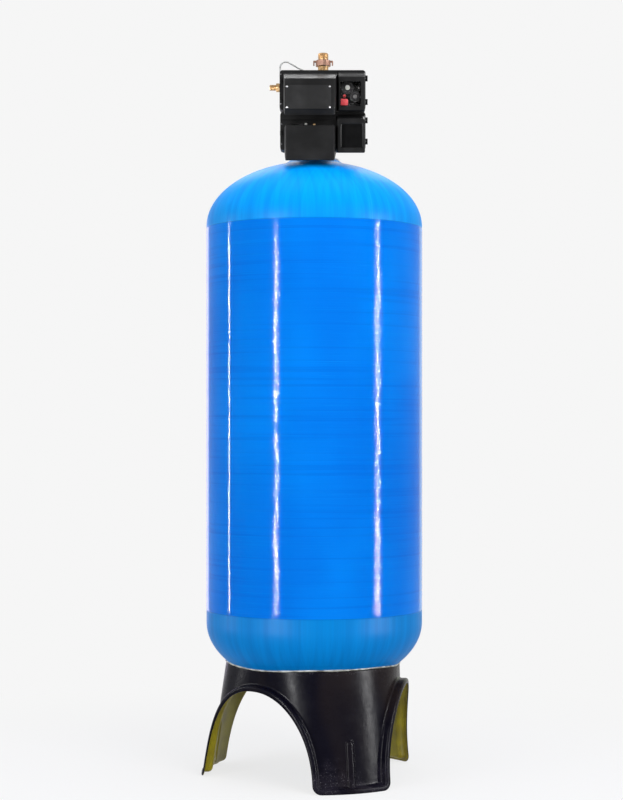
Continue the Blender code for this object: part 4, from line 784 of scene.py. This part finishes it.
def base_section(leg, side, sample, shares):
    """One closed section, and for each of its points the material after it: 0 outside, 1 inside."""
    edge_off, edge_height, top_off, sideways, upward = sample
    edge_radius = wall_radius(edge_off, edge_height)
    rim = rim_radius(top_off)
    rim_top = rim_height(rim)
    fold = BASE_WALL + LIP_FILLET

    def place(off, radius, height):
        return round_axis(math.radians(leg + side * off), radius, height)

    def lip(out, away):
        off = edge_off + math.degrees(away * sideways / edge_radius)
        height = edge_height + away * upward
        return place(off, wall_radius(off, height) + out, height)

    def face(share, inset):
        off = top_off + (edge_off - math.degrees(fold * sideways / edge_radius) - top_off) * share
        height = rim_top + (edge_height - fold * upward - rim_top) * share
        return place(off, wall_radius(off, height) + rib_bump(off, height) - inset, height)

    def seat(inward, drop):
        return place(top_off, rim - inward, rim_height(rim - inward) - drop)

    outer, inner = lip_outline(rib_bump(edge_off, edge_height))
    drop = BASE_WALL * 1.25
    points = [seat(0.0, 0.0)] + [face(share, 0.0) for share in shares[1:-1]]
    points += [lip(out, away) for out, away in outer]
    outside = len(points)
    points += [lip(out, away) for out, away in inner]
    points += [face(share, BASE_WALL) for share in reversed(shares[1:-1:4])]
    points += [seat(BASE_WALL, drop), seat(SEAT_WIDTH, drop), seat(SEAT_WIDTH, 0.0), seat(SEAT_WIDTH / 2, 0.0)]
    return points, [0] * outside + [1] * (len(points) - outside)


def make_base(outside, inside):
    """The base: one wall round three legs and three arches, with a rolled lip."""
    shares = [low + (high - low) * step / count for low, high, count in WALL_ROWS for step in range(count)]
    shares.append(1.0)
    samples = edge_samples()
    sections = []
    for leg in LEG_ANGLES:
        sections += [base_section(leg, -1, sample, shares) for sample in reversed(samples[1:-1])]
        sections += [base_section(leg, 1, sample, shares) for sample in samples]
    base = loft("three_legged_base", [points for points, _ in sections], [outside, inside], sections[0][1])
    dress(base, "root", "base", "tripod_base")


def make_sealant(material):
    """An uneven bead in the corner between the base's rim and the vessel."""
    sections = []
    for step in range(360):
        turn = step % LEG_PITCH
        angle = math.radians(LEG_ANGLES[0] + step)
        rim = rim_radius(min(turn, LEG_PITCH - turn))
        size = BEAD_RADIUS * (0.85 + 0.45 * noise_round(angle, 7.0, 2.0))
        radius, height = rim + BEAD_OUT, rim_height(rim) + BEAD_UP
        sections.append([round_axis(angle, radius + size * math.cos(side), height + size * math.sin(side))
                         for side in turns(BEAD_SIDES)])
    dress(loft("rim_sealant", sections, [material]), "root", "liner")


# Fittings on the valve


def turned(name, profile, place, axis, segments, material, outline=None):
    """A turned piece with a bore: profile is a closed loop of (radius, height), outline limits the radius."""
    sections = []
    for angle in turns(segments):
        section = []
        for radius, height in profile:
            if outline:
                radius = outline(radius, angle)
            a, b = radius * math.cos(angle), radius * math.sin(angle)
            x, y, z = (a, b, height) if axis == "Z" else (-height, a, b)
            section.append((place[0] + x, place[1] + y, place[2] + z))
        sections.append(section)
    piece = loft(name, sections, [material])
    piece.data.set_sharp_from_angle(angle=math.radians(TURNED_CREASE))
    return piece


def thread(radius, low, high, pitch, depth):
    """The profile of a pipe thread from low to high, with soft crests."""
    steps = max(2, round((high - low) / pitch * 6))
    points = []
    for step in range(steps + 1):
        height = low + (high - low) * step / steps
        points.append((radius - depth * (0.5 + 0.5 * math.cos(2 * math.pi * height / pitch)), height))
    return points


def make_union_tail(material):
    """The threaded tail at the very top, with its bore."""
    low = UNION_TOP - UNION_THREAD_LENGTH
    profile = [(UNION_WATER, UNION_TOP), (UNION_WATER, UNION_SEAT), (UNION_COLLAR, UNION_SEAT)]
    profile += [(UNION_COLLAR, UNION_SEAT + UNION_RIM), (UNION_WAIST, UNION_SEAT + UNION_RIM)]
    profile += [(UNION_WAIST, low - 0.002)]
    profile += thread(UNION_THREAD, low, UNION_TOP - 0.002, UNION_PITCH, UNION_THREAD_DEPTH)
    profile += [(UNION_THREAD - 0.0016, UNION_TOP)]
    piece = turned("threaded_tail", profile, (UNION_X, UNION_Y, 0.0), "Z", 64, material)
    dress(piece, "root", "brass", "union_tail")


def make_nipple(material):
    """The drain nipple: a hexagon, a threaded tail and a spigot inside the valve body."""
    start = -DRAIN_REACH - 0.0003
    end = DRAIN_HEX_WIDTH + DRAIN_TAIL
    flat = DRAIN_HEX * math.cos(math.pi / 6)
    inwards, along = DRAIN_BEVEL
    profile = [(DRAIN_BORE, end), (DRAIN_BORE, -DRAIN_SPIGOT_LENGTH), (DRAIN_SPIGOT, -DRAIN_SPIGOT_LENGTH)]
    profile += [(DRAIN_SPIGOT, 0.0), (DRAIN_HEX - inwards, 0.0), (DRAIN_HEX, along)]
    profile += [(DRAIN_HEX, DRAIN_HEX_WIDTH - along), (DRAIN_HEX - inwards, DRAIN_HEX_WIDTH)]
    profile += [(DRAIN_THREAD - 0.001, DRAIN_HEX_WIDTH)]
    profile += thread(DRAIN_THREAD, DRAIN_HEX_WIDTH + 0.001, end - 0.0014, DRAIN_PITCH, DRAIN_THREAD_DEPTH)
    profile += [(DRAIN_THREAD - 0.0013, end)]

    def hexagon(radius, angle):
        if radius < DRAIN_HEX - 0.002:
            return radius
        around = math.fmod(angle, math.pi / 3) - math.pi / 6
        return min(radius, flat / math.cos(around))

    piece = turned("threaded_nipple", profile, (start, DRAIN_Y, DRAIN_Z), "X", 72, material, hexagon)
    dress(piece, "root", "brass", "drain_nipple")


def smooth_route(points, steps):
    """Points along a Catmull-Rom curve through the route's own points."""
    ends = [points[0], *points, points[-1]]
    route = []
    for index in range(1, len(ends) - 2):
        before, first, last, after = (Vector(point) for point in ends[index - 1:index + 3])
        for step in range(steps):
            t = step / steps
            point = 2 * first + (last - before) * t + (2 * before - 5 * first + 4 * last - after) * t * t
            route.append((point + (3 * first - before - 3 * last + after) * t * t * t) / 2)
    route.append(Vector(points[-1]))
    return route


def make_tube(material):
    """The thin tube that arches from the drain's boss over to the valve's top."""
    route = [Vector(TUBE_START), *smooth_route(TUBE_ROUTE, TUBE_STEPS), Vector(TUBE_END)]
    rows = []
    for index, place in enumerate(route):
        along = (route[min(index + 1, len(route) - 1)] - route[max(index - 1, 0)]).normalized()
        first = Vector((0.0, 1.0, 0.0)).cross(along).normalized()
        second = along.cross(first)
        rows.append([tuple(place + TUBE_RADIUS * (first * math.cos(angle) + second * math.sin(angle)))
                     for angle in turns(TUBE_SIDES)])
    dress(new_piece("arched_tube", *skinned(rows), [material]), "root", "tube", "pilot_tube")


def slab(name, outline, front, rear, edge, material, body, slot):
    """A thin solid with a convex outline of (X, Z), its front edge softened."""
    middle = [sum(point[axis] for point in outline) / len(outline) for axis in (0, 1)]
    size = max(math.dist(point, middle) for point in outline)
    third = edge * 0.3
    levels = ((1.0, rear), (1.0, front + edge), (1.0 - third / size, front + third), (1.0 - edge / size, front))
    rows = []
    for share, y in levels:
        rows.append([(middle[0] + (x - middle[0]) * share, y, middle[1] + (z - middle[1]) * share)
                     for x, z in outline])
    piece = new_piece(name, *skinned(rows), [material])
    piece.data.set_sharp_from_angle(angle=math.radians(SLAB_CREASE))
    dress(piece, body, slot)


def rounded(low_x, high_x, low_z, high_z, radii):
    """A rectangle with rounded corners, anticlockwise from the low corner, with a radius for each corner."""
    corners = ((low_x, low_z, 180), (high_x, low_z, 270), (high_x, high_z, 0), (low_x, high_z, 90))
    points = []
    for (x, z, start), radius in zip(corners, radii):
        middle_x = x + (radius if x == low_x else -radius)
        middle_z = z + (radius if z == low_z else -radius)
        for step in range(ROUNDED_STEPS + 1):
            angle = math.radians(start + 90 * step / ROUNDED_STEPS)
            points.append((middle_x + radius * math.cos(angle), middle_z + radius * math.sin(angle)))
    return points


def oval(x, z, wide, tall, count=24):
    """An upright oval of half a width and half a height."""
    return [(x + wide * math.cos(turn), z + tall * math.sin(turn)) for turn in turns(count)]


def grown(rectangle, amount):
    """The rectangle with every side moved outwards."""
    return (rectangle[0] - amount, rectangle[1] + amount, rectangle[2] - amount, rectangle[3] + amount)


def window_rows():
    """The upper cover's opening, from its rear edge to the front."""
    edge = grown(WINDOW, WINDOW_SOFT)
    rows = ((WINDOW, WINDOW_REAR), (WINDOW, RIGHT_FRONT + WINDOW_SOFT), (edge, RIGHT_FRONT),
            (grown(edge, HOLD), RIGHT_FRONT))
    return [(rectangle, WINDOW_RADII, depth) for rectangle, depth in rows]


def panel_rows():
    """The lower cover's sunk panel, from its floor to the front."""
    floor = grown(PANEL, -PANEL_SLOPE)
    edge = grown(PANEL, PANEL_SOFT)
    rows = ((grown(floor, -HOLD), PANEL_FLOOR), (floor, PANEL_FLOOR),
            (grown(floor, PANEL_SOFT), PANEL_FLOOR - 0.0003), (PANEL, RIGHT_FRONT + 0.0004),
            (edge, RIGHT_FRONT), (grown(edge, HOLD), RIGHT_FRONT))
    return [(rectangle, PANEL_RADII, depth) for rectangle, depth in rows]


def cover_half(middle, closed, front, radii, depth, chin, chin_depth, root, flange, flange_radii):
    """The surface of half a cover, from its middle over the front and the flange to the room behind."""
    tight = tuple(max(radius - COVER_WALL, 0.0004) for radius in radii)
    rear = depth + COVER_WALL + 0.001
    rows = [
        *middle,
        (grown(front, -COVER_SOFT - HOLD), tight, depth),
        (grown(front, -COVER_SOFT), tight, depth),
        (grown(front, -COVER_SOFT * 0.55), radii, depth + COVER_SOFT * 0.12),
        (grown(front, -COVER_SOFT * 0.15), radii, depth + COVER_SOFT * 0.5),
        (front, radii, depth + COVER_SOFT),
        (chin, radii, chin_depth),
        (root, ROOT_RADII, FLANGE_FRONT - ROOT_SOFT),
        (grown(root, 0.0004), ROOT_RADII, FLANGE_FRONT),
        (grown(flange, -FLANGE_SOFT), flange_radii, FLANGE_FRONT),
        (flange, flange_radii, FLANGE_FRONT + FLANGE_SOFT),
        (flange, flange_radii, COVER_REAR),
        (grown(root, -COVER_WALL), ROOT_RADII, COVER_REAR),
        (grown(chin, -COVER_WALL), tight, chin_depth),
        (grown(front, -COVER_WALL), tight, rear),
    ]
    if not closed:
        x, z = (front[0] + front[1]) / 2, (front[2] + front[3]) / 2
        speck = (x - SPECK, x + SPECK, z - SPECK, z + SPECK)
        rows.append((speck, SPECK_RADII, rear))
        rows.insert(0, (speck, SPECK_RADII, middle[0][2] if middle else depth))
    return skinned([[(x, y, z) for x, z in rounded(*rectangle, radii)] for rectangle, radii, y in rows], closed)


def make_cover(name, node, halves, materials, sunk=None):
    """A cover of two halves side by side. sunk is the rectangle and depth of a panel in the second material, a
    darker, duller black that paints shade into the sunk panel.
    """
    points = []
    faces = []
    for more_points, more_faces in halves:
        faces += [tuple(index + len(points) for index in face) for face in more_faces]
        points += more_points
    piece = new_piece(name, points, faces, materials)
    shape = bmesh.new()
    shape.from_mesh(piece.data)
    bmesh.ops.recalc_face_normals(shape, faces=shape.faces)
    shape.to_mesh(piece.data)
    shape.free()
    piece.data.set_sharp_from_angle(angle=math.radians(COVER_CREASE))
    if sunk:
        (low_x, high_x, low_z, high_z), depth = sunk
        for face in piece.data.polygons:
            x, y, z = face.center
            if low_x < x < high_x and low_z < z < high_z and y < depth:
                face.material_index = 1
    dress(piece, node, "cover", node)


def make_covers(material, shade):
    """Both covers and the knuckles of their hinges."""
    upper = (cover_half([], False, **UPPER_LEFT), cover_half(window_rows(), True, **UPPER_RIGHT))
    lower = (cover_half([], False, **LOWER_LEFT), cover_half(panel_rows(), False, **LOWER_RIGHT))
    sunk = (grown(PANEL, -0.002), PANEL_FLOOR + 0.0002)
    make_cover("upper_cover_shell", "upper_cover", upper, [material])
    make_cover("lower_cover_shell", "lower_cover", lower, [material, shade], sunk)
    front = HINGE_Y - KNUCKLE_RADIUS
    for index, (body, level) in enumerate(HINGES, 1):
        low, high = level + KNUCKLE_LOW, level + KNUCKLE_HIGH
        ring = [(PIN_BORE, low), (PIN_BORE, high), (KNUCKLE_RADIUS - KNUCKLE_SOFT, high)]
        ring += [(KNUCKLE_RADIUS, high - KNUCKLE_SOFT), (KNUCKLE_RADIUS, low + KNUCKLE_SOFT)]
        ring += [(KNUCKLE_RADIUS - KNUCKLE_SOFT, low)]
        dress(turned(f"knuckle_{index}", ring, (HINGE_X, HINGE_Y, 0.0), "Z", 24, material), body, "cover")
        leaf = rounded(LEAF_START, HINGE_X - LEAF_INSET, low, high, (0.0008,) * 4)
        slab(f"knuckle_leaf_{index}", leaf, front, HINGE_Y - LEAF_BACK, 0.0006, material, body, "cover")


def make_timer_details():
    """What shows through the window apart from the dial, the knob and the button: a red sticker, and two grey
    marks on the timer's face that are painted glints on the dial.
    """
    red = plain_plastic("sticker_red", (0.42, 0.012, 0.02), 0.45)
    glint_grey = plain_plastic("painted_glint_grey", (0.055, 0.055, 0.058), 0.42)
    sticker = rounded(*STICKER, STICKER_RADII)
    slab("plain_sticker", sticker, *STICKER_DEPTHS, 0.0001, red, "upper_cover", "button")
    slab("timer_glint_arc", GLINT_ARC, TIMER_FACE - GLINT_ARC_REACH, TIMER_FACE, 0.0005, glint_grey, "root", "timer_face")
    slab("timer_glint_spot", oval(*GLINT_SPOT), TIMER_FACE - GLINT_SPOT_REACH, TIMER_FACE, 0.0008, glint_grey, "root", "timer_face")


def make_clips(material):
    """Moulded catches on the left of the covers' flanges."""
    front, rear = FLANGE_FRONT - CLIP_REACH, FLANGE_FRONT + 0.001
    for name, body, low, high in CLIPS:
        outline = rounded(*CLIP_SPAN, low, high, (CLIP_CORNER,) * 4)
        slab(name, outline, front, rear, CLIP_CORNER, material, body, "cover")


# Stage, light and camera


def seen_rays(tree):
    """1 for the rays that see the background: from the camera, from gloss or through clear plastic."""
    path = new_node(tree, "ShaderNodeLightPath").outputs
    seen = path["Is Camera Ray"]
    for kind in ("Is Glossy Ray", "Is Transmission Ray"):
        seen = new_node(tree, "ShaderNodeMath", {0: seen, 1: path[kind]}, operation="MAXIMUM").outputs[0]
    return seen


def make_floor():
    """A pale floor that fades into the background and keeps the object's shadow."""
    mesh = bpy.data.meshes.new("floor")
    corners = ((-1, -1), (1, -1), (1, 1), (-1, 1))
    mesh.from_pydata([(x * FLOOR_REACH, y * FLOOR_REACH, 0.0) for x, y in corners], [], [(0, 1, 2, 3)])
    floor = new_object("floor", mesh)
    material = bpy.data.materials.new("floor")
    material.use_nodes = True
    tree = material.node_tree
    tree.nodes.clear()
    place = new_node(tree, "ShaderNodeTexCoord").outputs["Object"]
    radius = new_node(tree, "ShaderNodeVectorMath", {0: place}, operation="LENGTH").outputs["Value"]
    reach = {"Value": radius, "From Min": FLOOR_FADE[0], "From Max": FLOOR_FADE[1]}
    reach = new_node(tree, "ShaderNodeMapRange", reach, interpolation_type="SMOOTHSTEP").outputs[0]
    flat = new_node(tree, "ShaderNodeBsdfDiffuse", {"Color": FLOOR_SHADE}).outputs[0]
    glow = new_node(tree, "ShaderNodeEmission", {"Color": BACKGROUND, "Strength": FLOOR_GLOW}).outputs[0]
    near = new_node(tree, "ShaderNodeAddShader", {0: flat, 1: glow}).outputs[0]
    far = new_node(tree, "ShaderNodeEmission", {"Color": BACKGROUND}).outputs[0]
    fade = new_node(tree, "ShaderNodeMixShader", {0: reach, 1: near, 2: far}).outputs[0]
    plain = new_node(tree, "ShaderNodeBsdfDiffuse", {"Color": FLOOR_COLOUR}).outputs[0]
    surface = new_node(tree, "ShaderNodeMixShader", {0: seen_rays(tree), 1: plain, 2: fade}).outputs[0]
    new_node(tree, "ShaderNodeOutputMaterial", {"Surface": surface})
    mesh.materials.append(material)


def make_world():
    """A grey ambient light, and the photograph's pale background for the rays that see it."""
    world = bpy.data.worlds.new("studio")
    world.use_nodes = True
    tree = world.node_tree
    tree.nodes.clear()
    ambient = new_node(tree, "ShaderNodeBackground", {"Color": (*WHITE, 1.0), "Strength": AMBIENT}).outputs[0]
    pale = new_node(tree, "ShaderNodeBackground", {"Color": BACKGROUND}).outputs[0]
    surface = new_node(tree, "ShaderNodeMixShader", {0: seen_rays(tree), 1: ambient, 2: pale}).outputs[0]
    new_node(tree, "ShaderNodeOutputWorld", {"Surface": surface})
    bpy.context.scene.world = world


def lamp(name, place, target, size, power, colour=WHITE):
    """An area lamp of a width and a height in metres, turned to its target."""
    light = bpy.data.lights.new(name, "AREA")
    light.shape = "RECTANGLE"
    light.size, light.size_y = size
    light.energy = power
    light.color = colour
    item = new_object(name, light)
    item.location = place
    item.rotation_mode = "QUATERNION"
    item.rotation_quaternion = (Vector(target) - Vector(place)).to_track_quat("-Z", "Y")
    return item


def strip(name, bearing, distance, width, power, colour):
    """A tall thin lamp beside the vessel; bearing is degrees from the camera's side of it, to the right."""
    angle = math.radians(bearing)
    middle = (STRIP_LOW + STRIP_HIGH) / 2
    place = (distance * math.sin(angle), -distance * math.cos(angle), middle)
    return lamp(name, place, (0.0, 0.0, middle), (width, STRIP_HIGH - STRIP_LOW), power, colour)


def make_lights():
    """Hides the lamps from the object's gloss, and all the others from its plain faces."""
    for settings in LAMPS:
        lamp(*settings).visible_glossy = False
    for settings in STRIPS:
        strip(*settings).visible_diffuse = False
    lamp(*REAR_SKY).visible_diffuse = False


def make_camera():
    """The photograph's level camera, shifted to its horizon row and tank column."""
    width, height = IMAGE_SIZE
    data = bpy.data.cameras.new("camera")
    data.sensor_width = SENSOR_WIDTH
    data.lens = FOCAL_PIXELS * SENSOR_WIDTH / max(width, height)
    data.shift_x = (width / 2 - TANK_COLUMN) / max(width, height)
    data.shift_y = (HORIZON_ROW - height / 2) / max(width, height)
    data.clip_end = CLIP_END
    camera = new_object("camera", data)
    camera.location = CAMERA_PLACE
    camera.rotation_euler = (math.pi / 2, 0.0, 0.0)
    bpy.context.scene.camera = camera
    bpy.context.scene.view_settings.view_transform = "Standard"


def numbered(name, count):
    return [f"{name}_{index}" for index in range(1, count + 1)]


def finish_nodes():
    """Gives each CAD node that stays in view, or may be looked at in a pose, its own finish."""
    brass = cast_brass("brass", (0.42, 0.275, 0.140), (0.32, 0.205, 0.100), 0.46)
    rosy = cast_brass("rosy_brass", (0.29, 0.172, 0.130), (0.23, 0.130, 0.098), 0.50)
    steel = plain_plastic("steel", (0.55, 0.55, 0.56), 0.32, metallic=1.0)
    screw = plain_plastic("screw_steel", (0.46, 0.46, 0.47), 0.42, metallic=1.0)
    dark_screw = plain_plastic("dark_screw", (0.09, 0.09, 0.095), 0.42, metallic=1.0)
    cover = satin_black("cover_black", (0.0075, 0.0075, 0.0078), 0.40)
    tray = satin_black("tray_black", (0.004, 0.004, 0.0043), 0.50)
    plate = satin_black("plate_black", (0.020, 0.020, 0.0205), 0.38, 1400.0)
    white = plain_plastic("white_plastic", (0.72, 0.72, 0.69), 0.45)
    finishes = {
        tray: ("upper_back_shell", "lower_back_shell", "tank_adapter", "timer_plate"),
        plate: ("name_plate",),
        brass: ("valve_body", "inlet_coupling", "outlet_coupling", "union_stub", "tube_nut_left",
                "tube_nut_right", "upper_piston", "lower_piston"),
        rosy: ("union_nut",),
        steel: (*numbered("hinge_pin", 4), "upper_motor", "lower_motor", "upper_motor_pinion",
                "lower_motor_pinion"),
        screw: numbered("plate_screw", 4),
        dark_screw: numbered("cover_screw", 4),
        white: ("neck_insert", "riser_tube", "distributor_hub", "top_diffuser", "upper_drive_gear",
                "lower_drive_gear", *numbered("lateral", 6)),
        plain_plastic("liner_plastic", (0.68, 0.69, 0.66), 0.5): ("tank_liner",),
        plain_plastic("seal_rubber", (0.02, 0.02, 0.02), 0.6): ("upper_seal_pack", "lower_seal_pack"),
        grains("gravel", (0.42, 0.38, 0.32), (0.16, 0.14, 0.12), 0.006): ("gravel_bed",),
        grains("resin", (0.55, 0.30, 0.07), (0.36, 0.17, 0.03), 0.0012): ("resin_bed",),
        clear_window(): ("window_pane",),
        ringed_plastic("dial_rings", DIAL, DIAL_RINGS, 0.4): ("program_dial",),
        ringed_plastic("knob_rings", KNOB, KNOB_RINGS, 0.42): ("manual_knob",),
        plain_plastic("button_red", (0.62, 0.02, 0.02), 0.35): ("time_set_button",),
    }
    for material, nodes in finishes.items():
        for node in nodes:
            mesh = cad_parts[node].data
            mesh.materials.clear()
            mesh.materials.append(material)
    make_union_tail(brass)
    make_nipple(brass)
    make_tube(plain_plastic("bright_tube", (0.50, 0.51, 0.51), 0.45))
    make_clips(cover)
    # The sunk panel's floor gets a darker, duller black: painted shade in the recess.
    make_covers(cover, plain_plastic("recess_painted_shade", (0.004, 0.004, 0.0042), 0.55, specular=0.03))
    make_timer_details()


make_camera()
make_world()
make_floor()
make_lights()
finish_nodes()
make_tank(blue_winding())
make_base(gloss_black(), bare_laminate())
make_sealant(pale_sealant())
